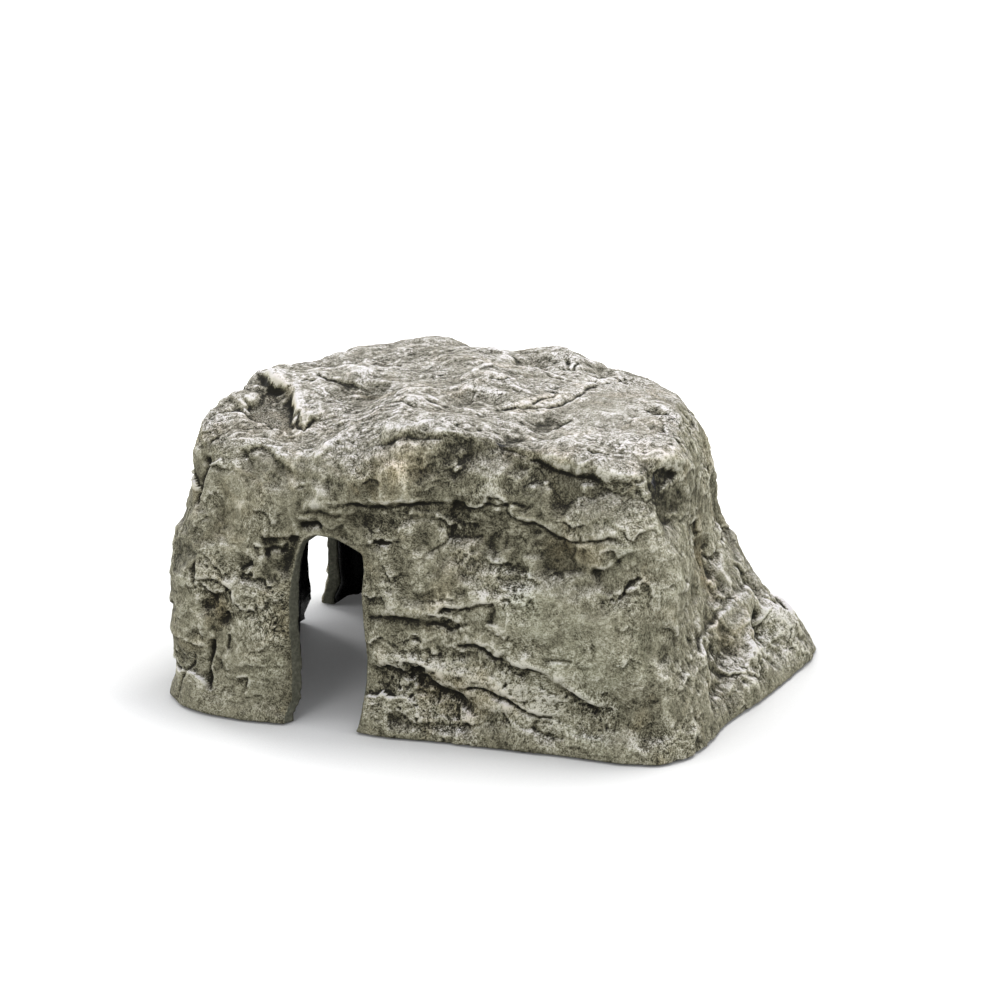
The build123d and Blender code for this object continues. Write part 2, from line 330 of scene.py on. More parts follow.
# Each row is: kind width height [reach]: x y z of each point of its line, comma-separated.
# A row that ends in a comma goes on in the next line.
# calm quiets the noise and coarse makes it more crumbly; the other kinds are shapes.
FEATURE_TABLE = """
step 5 6 12: -116.6 -11.1 148.4, -109.6 -22.3 147.9, -103.9 -26.4 147.2, -97.5 -28.1 146.5,
  -93.3 -33.6 144.8, -90.2 -40.5 142.4, -86.9 -48 140.2, -80.1 -59.1 137.9
dent 12 4.6: -100.3 -38.5 144, -89.2 -55.4 138.6
dent 8 1.8: -107.9 -33.3 145.9, -116.3 -28.1 146.8
groove 1.8 2.6: -87.6 -46 140.6, -84.2 -48.3 140.1, -81.8 -47.8 140.1, -79.1 -55 138.9,
  -79.9 -59.5 137.6
dent 3.2 3: -82.8 -52 139.2
groove 1.3 2.4: -78.5 -60.5 136.5, -76.4 -56.8 138.1, -73.6 -50.4 139.6
groove 1.5 1.6: -118.4 -36.2 143.8, -106.9 -46.9 141.1, -98.7 -52.2 139.3, -89.4 -60.3 137.9
groove 1.2 1.2: -120 -42.8 141.4, -109.9 -50 139.7, -98.4 -58.1 138, -90.3 -66 136
groove 1.8 1.8: -121.5 -70.6 129.9, -118.2 -70.9 132.3, -115 -71.1 132.4
groove 1.4 2: -108.2 -7 148.2, -104.4 -4.4 148.1, -96.6 -7 148
groove 1.4 1.6: -92.6 -24.5 146.9, -90.9 -20.8 147.6, -86.1 -22.5 146.9
step 6 2 12: -104.9 -77.4 128.9, -97.5 -76.6 130.1, -91.1 -74.7 130.1, -83.5 -78.5 127.2,
  -76.9 -80.1 122.8, -69.6 -80.9 118.5
ridge 5 1.2: -69.6 -80.9 118.5, -76.6 -84 113.6, -88.1 -86.1 108.1, -102.2 -84.3 101.7
ridge 4 1.8: -69.6 -80.8 118.8, -63.1 -76.3 125, -53.9 -73.8 129.1, -44 -73.2 133.1,
  -30.1 -72.5 139.4, -16.5 -75.7 144, -6.1 -72.7 145.3, 8.6 -76.5 148.5, 13.4 -59.9 147.2
groove 1.6 1.2: -38.5 -77.1 133.5, -24.5 -79.8 139, -10.6 -79.9 142.3, 1.7 -78.3 144.9
bump 12 2.4: -76.9 -0.9 148, -60.8 -6.4 147.9
dent 12 2.2: -70.3 -21.8 145.6, -60.3 -22.2 145.1
groove 1.6 1.6: -88.6 -14.3 148.1, -78.4 -18 147.4, -67.6 -16.5 146.9, -59.3 -19.2 145.9
ridge 3.5 1.8: -92.5 -5.5 147.9, -85.9 2.3 147.7, -74.4 2.3 147.9, -60 -8.8 147.6
bump 10 2.6: -38 -30.1 144.7, -32.6 -34 145.7
bump 12 2: -24.8 -53.4 143.4, -9.8 -64.7 146.4
groove 1.5 2.2: -63.3 10.7 147.9, -59 14.9 148, -55 21.1 148.7
groove 1.2 1.6: -65.4 6.3 147.9, -58.5 7.4 147.9, -54.8 14.6 147.9
ridge 4 1.6: -78.4 24.7 147.8, -67.8 21.8 147.9, -59.4 24.8 148.9, -61.9 43.8 148.9
dent 2.6 2.4: -33.9 -21.3 146.4, -32.2 -21.8 146.4
dent 2.6 3: -18.4 -67.2 144.6, -15.5 -68.5 145.2
dent 2.8 3: -9.6 -63.8 146.4, -7.7 -63.5 146.5
dent 2.6 2: -1.1 -64.1 146.8, 1.3 -63.8 146.9
dent 2.2 2: -22.7 -37.6 145.4, -20.1 -37.8 145.4
groove 1.2 1.2: -41.5 -37.5 143.9, -30.8 -44.8 144.9, -21.7 -47.6 144.5
groove 1.8 2: -7 -64.3 146.6, 2 -65.9 146.6, 10.8 -66.9 147.9, 14.2 -59.2 147
step 5 1.8 16: -13.6 -36.1 146, -7.1 -40.2 146, 1.1 -40.7 146.1, 8.6 -36.2 146.3,
  13.2 -28.9 146.2, 18.8 -24.5 146, 25.5 -23.4 145.8, 32.5 -20 145.5, 35.7 -10.9 145.5
groove 1.3 1.5: 8.6 -36.2 146.3, 13.2 -28.9 146.2, 18.8 -24.5 146, 25.5 -23.4 145.8,
  32.5 -20 145.5, 35.7 -10.9 145.5, 37.9 -5 145.3, 40.5 -0.2 145, 41 18.1 144.6,
  45.6 33.5 143.9, 48.6 56.3 142.1
groove 1.1 1.6: 24.4 -23.1 145.9, 27.4 -16.6 145.8, 29 -8.8 145.8, 32.3 -3.2 145.6
groove 2 2.2: 36.9 -43.4 144.2, 41.5 -33 144.2, 46.8 -24.1 144.7
dent 9 3.4: 35.3 -37.1 144.3, 38.3 -28.9 144.7
dent 8 2: 33.5 -57.9 144, 32.6 -76.5 145.8
bump 14 2.4: 4.5 2.7 147.6, 16.7 4.6 146.6
groove 1.3 1.2: -2.7 -6.4 147.4, 5.7 -0.9 147.2, 9 6.2 147.6
dent 12 1.6: -4.1 -25.2 146.9, 5.9 -24.9 146.7
step 5 4 14: 32 27.6 145.3, 24.1 29.9 147.1, 16.9 31.5 148, 13.4 31.3 148.3,
  3.2 45.5 147.2, -2.2 46.2 147.6, -12.1 57.3 146.5
dent 5 3.4: -0.7 44.7 147.4, 3.6 44.3 147.1
groove 2.2 1.8: 13.4 31.3 148.3, 23.4 25.6 146.6, 32.2 26.8 145.3, 38.4 36.9 144.1,
  46.2 48.8 142.9
dent 9 2.2: 10.7 20.2 148.5, 15.4 13.6 147.1
groove 1.6 1.8: -15.1 12.5 149.3, -12.3 21.1 148.8, -7.6 27.3 148.1, 0.7 30.6 147.1
groove 1.8 2.4: 18.5 39.5 148.1, 21.9 40.2 147.2, 24.6 43.2 146.9
groove 1.5 1.8: 16.7 64 147.1, 23.8 51 148.1, 24.7 61.7 146.9
groove 1.6 1.8: 37.4 54 144.9, 43.1 55.9 143.3, 47.9 55.3 142.3
bump 10 1.6: 4.6 72.5 147, 11.3 71.2 147.9
dent 10 1.6: 33.8 45.3 145.3, 39.2 48 144.1
calm 24 0.75: 54.7 -20.7 144.4, 79 -18.8 143.6
calm 18 0.6: 66.3 25.4 142.8, 76 35.9 140.8
groove 1.5 1.6: 52.4 -53.7 141.9, 57.1 -48.2 141.5, 61.7 -43.9 141.4
groove 1.5 1.8: 66.6 -66.5 139, 70.6 -65.2 138.6, 75.6 -64.2 137.8
groove 1.4 1.4: 72.5 -27.1 142.9, 76.3 -23.2 143.1, 78 -15.5 144.1
ridge 3 1.8: 66.5 7.1 144.3, 74.4 5.7 144.4, 84.8 -2.9 144.9, 92.6 -11.2 144.5,
  95.8 -8.2 140.7, 97 5.8 132.9
coarse 7 1.6: 83.6 -9 144.8, 90.9 -12.2 144.3
dent 2.6 2.2: 81.1 -7.3 145.1
dent 2.4 2.6: 84.4 -10 144.6
dent 2.2 2.2: 88.5 -10.7 144.4
ridge 3 1.2: 89.9 -56.6 138.1, 97.9 -59.1 137.7, 102.6 -53.6 135, 104.7 -32.7 125.2
coarse 14 0.8: 71.8 -44.9 140.4, 87.1 -47.1 139.5
step 4 2.9 12: 43.2 -77.6 141.7, 48.9 -78.5 138.7, 51.9 -78.8 137.6, 60.2 -79 136,
  69 -79.1 134.2, 73.4 -79.2 133.2, 80 -78.8 132.2, 86.7 -77 131.4, 95.5 -72.6 132.1
groove 1.5 1.8: 40.2 -79 138.5, 44.8 -78 140.5, 49 -78.8 138, 54.8 -79 136.9,
  60.7 -79.1 135.8, 66.6 -79.3 134.3
dent 7 1.8: 63.1 -80.4 132.3, 67.3 -81.4 129.1
ridge 3.5 1.6: 28.2 -78.1 142, 36.1 -78.2 140.8, 43.2 -78.9 138.2, 48.4 -80.1 134.7
dent 6 1.5: 53.3 -80.1 134.2, 59.4 -81 131.2
step 3.5 2.4 14: 99.4 -67.6 133, 101 -64.9 134.3, 102.6 -58.6 133.6, 104.4 -52.7 131.3,
  106.1 -49.9 127.5, 107.5 -53.3 123.7
dent 9 3: 105.4 -64.8 125, 107.1 -65.2 116.5
dent 11 3: 16.3 -77.6 144.6, 8.8 -81.9 134.4, 0.7 -84.2 126.5
bump 12 2.6: -12.4 -83.5 133.4, -20.1 -84.2 129.4
bump 14 2: 31.7 -81.2 133.5, 24.8 -82.6 127.3
bump 12 1.6: -59.5 -80.7 121.7, -53.4 -83.6 117.2
dent 10 1.2: -44.4 -83.3 121.9, -37.8 -85.2 120.2
step 5 1.7 12: -57.8 -85.7 110.4, -50.1 -86.2 110.4, -42.9 -86.5 111.6, -35.3 -86.6 112.9,
  -22.2 -86.9 114, -13.3 -86.9 115.2, -5.6 -86.1 115.7, 1.1 -85.5 115.9, 8.8 -84.8 115.7,
  15.5 -84.2 115.7
groove 1.3 1.2: -48.5 -86.3 110.1, -38.3 -86.7 110.7, -27.2 -87 112.1, -15.7 -87.1 114,
  -3.7 -86 115.1, 6.9 -85.1 115.1
dent 8 2.6: -32.2 -87.2 108.5, -8.3 -86.9 111.2, 7 -85.4 112.7
ridge 3 1.6: -26.4 -86.5 117.2, -18.4 -86.4 119.9, -12.5 -86 122.3, -8.6 -85.9 120.2,
  -5.2 -85.8 118.1
bump 9 2.2: -11.9 -88.4 103.9, 3.4 -86.5 107.3
ridge 4 1.4: -20.8 -88.6 101.1, -12.8 -88.6 102.9, -3.3 -87.3 105.9, 4.3 -86.1 108.8
ridge 4 1.8: -69.3 -84.7 109.5, -60.8 -85.7 108.2, -51.5 -86.5 107.3, -42.4 -86.7 109.3
groove 2 1.6: -69 -85.6 105.4, -60.7 -86.2 104.4, -52.5 -86.8 104.4, -44.3 -87 105.2
step 3 2 7: -87.5 -88.5 90.5, -81 -88.1 90.5, -74.6 -87.6 90.9, -68.6 -87.3 91
dent 6 1.6: -78.9 -88.3 88.7, -71.5 -87.7 89.3
dent 3 2.2: -65.7 -86.7 97.6, -61.6 -86.9 98
groove 1.4 1.4: -68.8 -86.6 97.2, -62.6 -86.8 98.4, -57.4 -87.2 97.5
dent 10 2.2: 38.2 -78.6 139.6, 42.8 -80.8 133.4, 49 -82.1 129.5
ridge 3 1.2: 11.1 -82.9 129.5, 17.8 -82.3 129.5, 25.7 -82.4 129.3, 33.6 -82.7 128.2
groove 1.1 1.2: 32.3 -84.7 110.9, 40.7 -84.9 109.8, 49.6 -85.2 108, 57.1 -85.7 105.1,
  64.5 -86.1 103.2, 73.8 -86.4 103.3, 82.9 -86.4 104.6, 93.2 -83.5 104.4
step 3 0.9 8: 32.3 -84.7 110.9, 40.7 -84.9 109.8, 49.6 -85.2 108, 57.1 -85.7 105.1,
  64.5 -86.1 103.2, 73.8 -86.4 103.3, 82.9 -86.4 104.6, 93.2 -83.5 104.4
groove 1 1.4: 68.6 -85.5 109.6, 69.7 -85.8 106.9, 71.3 -86.3 103.8
groove 1 1.1: 6.8 -88 98.8, 14.5 -87.3 99.6, 23.2 -86.8 99.8
groove 1.6 1.4: 9.5 -87.2 101.8, 5.9 -88.2 98.3, 0.4 -89.5 94.2, -3.8 -90.3 91.5
groove 1.2 1.2: 19.3 -83.9 116.4, 28.2 -84.1 115.4, 36 -84 117.1, 44.9 -84.2 116.1
groove 1.6 1.6: -31.6 -89.2 93.8, -24.5 -89.4 95.3, -15.3 -90 96.2
ring 8 0.5: -6.1 -89.5 96.5
dent 12 1.8: 16.1 -86.2 104.1, 26 -86.5 101.2
dent 16 1.8: 59.6 -84.6 115.7, 79.1 -85.2 114
dent 14 2: 60.8 -88.1 92.5, 70.7 -88.8 89.9
bump 9 1: 77.8 -86.9 100.7, 85.4 -86.5 99.4
step 3.5 1.4 9: 74.7 -89.1 88.4, 81.4 -88.8 91, 87.5 -87 94.9, 92.6 -84.7 98.6,
  97.8 -82.7 101.4
groove 1.2 2.2: 98.6 -85.1 89.1, 96.6 -86.3 86.8, 94.1 -87.6 84.1, 92.1 -88.9 80.9,
  91.4 -89.7 78.1
groove 1.1 1.4: 91.3 -89.5 79, 88.8 -90.8 76.7, 86.6 -91.2 77.6
coarse 10 1.4: 30.3 -90.4 79.3, 33.3 -90.8 75.8
ring 7 0.5: 30.3 -90.5 78.8
dent 6 2: 37.9 -89.6 85.7, 40 -90.2 82.2
bump 16 1.6: 17.4 -90.2 83.8, -1.7 -92.5 76.6
dent 9 1.2: 8.5 -90 88.7, 14.4 -90.1 86.4
calm 30 0.55: 81.6 -92.3 67.6, 62.5 -92.9 50.9
calm 20 0.45: 100.4 -90 59.1, 99.4 -87.5 77.8
calm 16 0.5: 56.4 7.3 144.4, 51.4 -34.3 143.5
step 3 1.3 7: -34.3 -93.8 58.6, -29.2 -94.2 57.8, -23 -94.7 57.9, -13.8 -95.1 59.8,
  -4.1 -94.3 60.8
groove 1.4 1.2: -34.3 -93.8 58.1, -30.2 -94.1 57.7, -24.5 -94.6 57.4
groove 1.2 1.3: -4 -94.5 58.6, 1.8 -94.2 57.6, 7.6 -93.7 57.4, 13.4 -93.3 58.1,
  20.2 -92.7 59.2
step 2.6 1.8 6: 1.6 -93.5 63.9, 7.4 -93 65.6, 14.1 -92.3 67.3, 20.8 -91.7 68.3,
  30.6 -91.5 68.8
groove 1.2 1.6: 3.5 -93.4 64.3, 11.2 -92.6 66.6, 18.9 -91.9 68.2
groove 2 1.6: 29.2 -91.6 68.7, 30.8 -91.9 65, 29.5 -92.5 60.1
step 3.6 1.8 9: 7.7 -94.1 48.8, 11.6 -93.9 48.4, 18.4 -93.4 48.5, 25.2 -93 48.8,
  30.6 -93.1 46.5, 35.6 -93.2 44.6, 40 -93.2 42.8, 45.9 -93.2 41.5, 52.8 -93.2 40,
  58.7 -93.2 38.2, 62.6 -93.2 36.2, 70.1 -93.7 32.2, 77.7 -94.3 28.8, 86.2 -95.1 23.1
groove 1.6 2.4: 11.1 -93.9 48.3, 18.4 -93.4 48.5, 25.2 -93 48.8, 30.1 -93.1 46.7
groove 2.6 2.2: 30.1 -93.1 46.7, 34.1 -93.1 45.4
groove 1.2 1.3: -13.7 -95.6 48.2, -10.3 -95.3 49.7, -6.9 -95.1 50.3, -4 -94.9 48.8
step 4 2.6 9: -33.4 -94.3 33.8, -26.1 -94.9 34, -19.4 -95.5 34.5, -13.2 -96 34.6,
  -7.8 -95.7 34.1, -3.4 -95.5 32.5, 0.6 -95.5 30.4, 4.6 -95.4 28.4, 8 -95.4 26.2,
  11.5 -95.4 24.4, 15 -95.4 22.5, 19.4 -95.3 20.7, 23.9 -95.2 18.9
trough 3.6 2.2: -19.4 -95.5 34.2, -13.2 -96 34.3, -7.8 -95.7 33.6, -3.3 -95.6 31.8,
  0.6 -95.5 29.7, 4.6 -95.5 27.6, 8.1 -95.5 25.5, 11.5 -95.5 23.6, 15 -95.4 21.8,
  19.5 -95.4 20, 24.9 -95.3 18.1
groove 1.5 2.6: 9.9 -95.1 27.6, 13.9 -95 27.2, 19.2 -94.6 27.5, 24.1 -94.4 27.2,
  29.6 -94.4 26.3, 33.5 -94.4 25.3, 37 -94.4 23.9, 40.5 -94.6 21.6, 44 -94.7 19.6,
  48 -94.8 18.3, 51.4 -94.8 17.6, 57.3 -94.7 17.6, 63.2 -94.6 17.5
step 3 1.2 6: 9.9 -95.1 27.6, 19.2 -94.6 27.5, 29.6 -94.4 26.3, 37 -94.4 23.9,
  44 -94.7 19.6, 51.4 -94.8 17.6, 63.2 -94.6 17.5
coarse 18 1.7: -16.6 -96.4 26.3, -0.6 -96.5 20.1
coarse 9 1.2: -30 -95.8 16.5, -26.9 -95.8 21.9
coarse 20 1.3: 53.1 -94.1 25.4, 72.9 -94.4 23.8
coarse 14 1: 18.5 -93.8 37.4, 33.3 -93.7 33
dent 6 1.8: 4.3 -96.3 18.6, 7.4 -96.6 15
step 3 1.3 6: -19.5 -97.1 14.6, -15 -98.4 13.1, -9.6 -99.6 10.8, 0.3 -99.4 10.1,
  12.2 -99.1 9.6, 24.9 -98.2 10.1
dent 6 1: -12.4 -100.4 9.5, -4.2 -100.9 7.6
groove 2.4 1.6: 44 -96.2 13.1, 52 -96.6 11.7, 60.2 -97.5 9.5, 67.3 -98.2 8
groove 1 1: 56.6 -93 47.3, 62.5 -92.9 47.7, 71.4 -93.3 48.1
ridge 3 1.2: 108.7 -89.1 30.1, 111.5 -86.9 23.6, 114.7 -84.2 17.1
dent 8 1.6: 99.9 -93.8 21.8, 104 -94 13.4
coarse 8 1.2: 112.7 -90.5 10.1, 116.1 -88.6 6.9
dent 8 1.4: 111.6 -81.6 53.5, 113.3 -80.6 45.4
dent 7 1.2: 105.5 -87.7 60.8, 108.7 -85.1 54.4
groove 1.8 2.2: -122 -72 125.3, -122 -75.1 118.1, -122.9 -75.2 111, -122.2 -76.7 105.5,
  -123.5 -76.4 97.7
bump 7 2.4: -129.4 -67.1 117.1
dent 16 1.2: -106.8 -79.3 122.8, -95.6 -81.9 120.6
calm 24 0.5: -94.6 -85.2 106.7, -76.3 -86.7 99
step 3 2 9: -122.4 -87.5 65.9, -117.1 -89 67.9, -112.3 -90.6 67.9, -108.6 -91.5 67.1,
  -105.1 -92.1 65.1, -101.8 -92.7 63.1
dent 5.5 2.6: -104.3 -91 73.9, -97.8 -91.7 73.8
groove 1.6 1.8: -97.8 -91.7 73.3, -94.3 -91.6 75.2, -91.2 -91.5 77
groove 1.6 1.8: -106.6 -92.3 62.5, -103.3 -92.7 61.5, -101.2 -92.8 62.2
ridge 3.5 1.8: -119.7 -89.4 59.2, -119.5 -90.3 53.4, -119.4 -89.7 46.1, -118.7 -89.4 37.9
ridge 3 1.2: -118.7 -89.4 37.9, -114.3 -91.2 37.4, -109.5 -92.8 39
dent 6 2.2: -110.1 -92.9 54.7, -108 -93.4 47.5
groove 1.7 2.6: -109.5 -92.8 39, -112 -92.1 33.9, -113.9 -91.3 29.4, -114.7 -91.6 21.7,
  -112.6 -93 14.7, -109.9 -94.7 12
groove 1.1 1.6: -103.3 -93.9 40.8, -104.1 -93.6 36.3, -102.2 -93.8 34
ridge 3 1.2: -103.7 -93.5 31.7, -101.5 -94.1 27.1, -101.4 -94.7 20.1
step 3 -1.6 8: -134.8 -76.4 16.5, -127.8 -84.8 16.8, -123.4 -87.9 16.9, -116.4 -91.2 15.7,
  -111.8 -93.8 13
ridge 3.5 1.8: -105.4 -93 57.3, -95.4 -93.4 61, -85.7 -93.1 65, -78.8 -92.4 69.5,
  -72 -91.2 73.8
dent 6 2: -80.5 -91.5 74.6, -75.7 -90.7 76.8
dent 9 1.4: -92.4 -92.8 69.2, -97.6 -92.7 65.6
groove 1.6 1.6: -86 -90 83.1, -81.2 -89.3 84.8, -75.2 -89.1 83.9
coarse 13 1.6: -80 -93.9 54.8, -76.9 -94.3 48.2
coarse 10 1: -107.3 -91.4 68.2, -113.8 -91 61.3
dent 8 1.4: -121.1 -84.6 81.3, -116.8 -88 75.2
groove 1.4 1.4: -125.1 -85.5 73.6, -122.5 -87.1 68.3, -122.7 -88.4 59.5
dent 7 1: -85.5 -97.7 10.7, -81 -98.7 8.5
step 4 1.8 10: 115.9 59.6 41.5, 114.5 40.1 42.9, 113.6 18.6 43.6, 113.3 2.9 41.5,
  113.2 -15.2 39.3, 113.5 -34.9 38.9, 115.4 -57.7 39.3
dent 11 3: 117.8 -17.1 30.2, 117.9 -2.5 31.4
dent 10 2.6: 121.4 -37.2 16.2, 121.5 -30 18.8
ridge 4 2.4: 116.6 24.8 38.7, 120.6 21.6 30.9, 124.2 16 23.8, 125.6 3.6 18.9,
  125.8 -8.8 16, 125.6 -17.2 13.7, 125.1 -31.9 10.6, 124.5 -48.1 9.2
bump 9 3.4: 128.3 51.8 23.7, 132 57.7 19
groove 2 2.8: 121.7 42.8 32.3, 123.4 34.5 29, 126.8 33.6 23.4, 129.1 31 19.3,
  131.5 25.9 14.5, 136.1 30 8.9
bump 6 2.2: 123.4 70.5 28.7
dent 6 3: 115.9 50.6 41.7, 117.9 51 38.7
groove 1.6 2: 121.3 54.1 33.8, 124.8 61.2 28.7, 127.8 74.1 22.6, 130.2 76 19.3
coarse 14 1.6: 128.3 51.8 23.7, 133.8 54.9 15.9
coarse 12 1.2: 96.5 39.2 98.3, 96.9 25.6 112.6
step 3 1.8 10: 101.3 -11.2 92.1, 100.2 0.1 89.5, 100.1 13.5 83.6, 100.6 19.5 79,
  101.3 18.2 75.9
dent 8 1.8: 100.4 5.4 81.8, 101.4 5.9 75.6
groove 1.1 1.4: 109.8 -58.2 96.5, 110.1 -59.3 92.9, 110.8 -64.3 90.6
dent 10 2.4: 103.4 11.9 65.3, 105 13.8 58.6
dent 7 2.2: 97.4 60.3 75.5, 99.3 65.1 69
groove 1.3 1.3: 111.8 -70.2 84.3, 108.1 -42.1 68.8, 106.4 -24.3 58.9
ridge 3.5 1.6: 106.4 -17.1 55.5, 108.9 -18.3 48, 111 -29.7 44.9
dent 5 1.8: 112.4 -60.7 62.4, 109.6 -47.1 63.6
ridge 3.5 1.6: 106.1 17.3 56.6, 110.1 17.9 49.6, 113.6 18.6 43.6
ridge 5 1.1: 105.9 -40.6 124.7, 101 -11.1 111.6, 98.7 19.8 98.2, 99.3 21.6 90.5
groove 1.3 1.1: 98.2 9.1 123.5, 97.6 17.2 116.1, 96.4 33.6 105.1, 96.7 44.3 95.8
groove 1.2 0.9: 94.7 37.1 116.2, 95.3 39.2 109.3, 94.6 48.5 99.8
groove 1.3 1.6: 96 -8.9 140.4, 97 2.2 134.4, 97 19 126.1
groove 1.1 1.3: 94.7 2.8 139, 95.1 16.5 132.2, 94.6 31.5 124.9
ridge 3 1.3: 116.2 -65.9 34.7, 118.1 -54.3 23.9, 120.4 -55.3 16.4, 123.9 -56.7 9.2
fold 5 2 20: -70.9 -86.4 99.4, -53.5 -86.8 103.8, -28.1 -87.6 105.5, -8.3 -87 110.3,
  5.9 -85.2 115, 19.1 -83.3 121.1
fold 9 2.6 26: 8.2 -84.6 117.6, 20.4 -84.3 112.8, 40.5 -85.6 105.4, 60.3 -86.7 99.9,
  80 -87.5 97.3, 96.1 -83.5 99.6
fold 3.5 1.6 12: -30.2 -94 60.1, -15.9 -94.9 61, -4.1 -94.3 60.5, 8.6 -93.6 59.2,
  23 -92.4 61.3, 32.6 -91.7 67.1
fold 4 2 14: -15.8 -95.5 45.2, 3.8 -94.5 47.5, 18.4 -93.4 47.7, 33.1 -93.2 43.8,
  52.8 -93.2 39, 70.1 -93.7 32.2, 86.2 -95.1 23.1
fold 5 2.6 16: -35.5 -94.1 35.5, -19.9 -95.4 35.7, -5.8 -95.6 33.3, 9 -95.4 25.8,
  23.9 -95.2 18.9, 43.6 -95 16.6
fold 4 1.4 10: -25.3 -97.9 11.7, -9.4 -100.3 9.3, 10.4 -99.8 8.4, 29.9 -98.5 9.3
bump 13 2.4: 40.7 -93.7 31.9, 62.9 -93.9 26.5
bump 10 1.6: -19.7 -96.5 22.9, -0.5 -96.8 17.2
dent 9 1.6: 70.3 -94 27.4, 83 -95.5 16.4
bump 24 2: 47.2 -91.1 73.4, 82 -93.2 58.2
bump 14 1.4: -1.8 -92 80.9, -16.2 -93.7 72.5
dent 18 1.6: 31.2 -87.3 97.6, 60.4 -86.9 98.9
bump 14 1.8: -18.5 -86.1 122.3, -48.9 -84.9 116
bump 12 1.6: 79.4 -85.8 109.3, 92.6 -81.8 114.3
dent 14 1.8: 39 -81.1 133.1, 51.9 -83.5 124.4
bump 18 1.8: -114.7 -79.9 105.7, -90.1 -86.3 105
fold 6 2 16: -139 -70.7 79.5, -123.2 -84.8 78.6, -109.5 -90.9 70.8, -99.6 -92.9 62.4,
  -86.2 -93.1 64.9
dent 9 1.8: -76.3 -88.5 87.1, -77.7 -90.7 77.6
bump 9 2: -125.7 -87.5 59, -124.9 -87.7 43.8
bump 14 1.6: -93.2 -94.9 39.5, -86.1 -95.4 25.2
dent 9 2: -107.9 -93.4 51.6, -106.4 -93.3 27.3
dent 11 2.6: 104.1 -63.7 128.4, 107.4 -62.9 113.9
bump 14 2: 107.4 -75.4 94.3, 112.9 -73.7 74.7
dent 9 2.2: 104.2 24.1 64.6, 108.3 17.1 52.8
bump 8 1.6: 106.8 45.4 56, 114.6 47.8 43.5
dent 11 2: 117.5 -23.4 30.3, 123.1 -35.9 12.9
bump 8 1.8: 122 12.8 26.7, 128.6 -4 12.5
bump 10 1.8: 126.6 54.3 26.4, 134.7 64 15.1
dent 6 1.8: 120.1 54.6 35.6, 125.4 23.2 23.6
dent 14 2.2: 32.6 -76.5 145.8, 37.1 -59.9 143.5
fold 4 2 16: 27.8 -76.8 145.4, 42.8 -77.8 141.3, 60.3 -79.2 135.6, 77.2 -79.3 132.4,
  96.8 -71.9 131.1
fold 4 1.4 16: -71.1 -79.5 122.2, -52.2 -75.5 128.8, -29.8 -73.4 139.1, -4.2 -78.2 145.8,
  18.6 -75.7 149.2
dent 10 1.6: -101.2 -4.5 147.9, -94.1 7.3 147.4
dent 7 1: 95.6 48.7 95.6, 92.7 71.6 81.1
dent 7 2.8: 89.7 32.4 132.3, 94.9 26.6 127.3
dent 8 2.4: 39.9 56.2 144, 48.8 54 142.3
bump 8 2: 9.1 71.6 147.6, 15 69.4 147.7
dent 7 2.6: 122.6 72.7 29.5, 126.5 74.7 24.2
dent 7 1.6: 104.6 75.2 54.3, 110.2 73.5 46.5
bump 9 1: -5.9 75.2 145.5, 20.7 75 146.7
dent 14 2.4: -68.1 62.9 146.5, -33.4 62.8 147.4
dent 8 1.8: 95.1 36.1 115, 95.1 46.7 100.2
"""
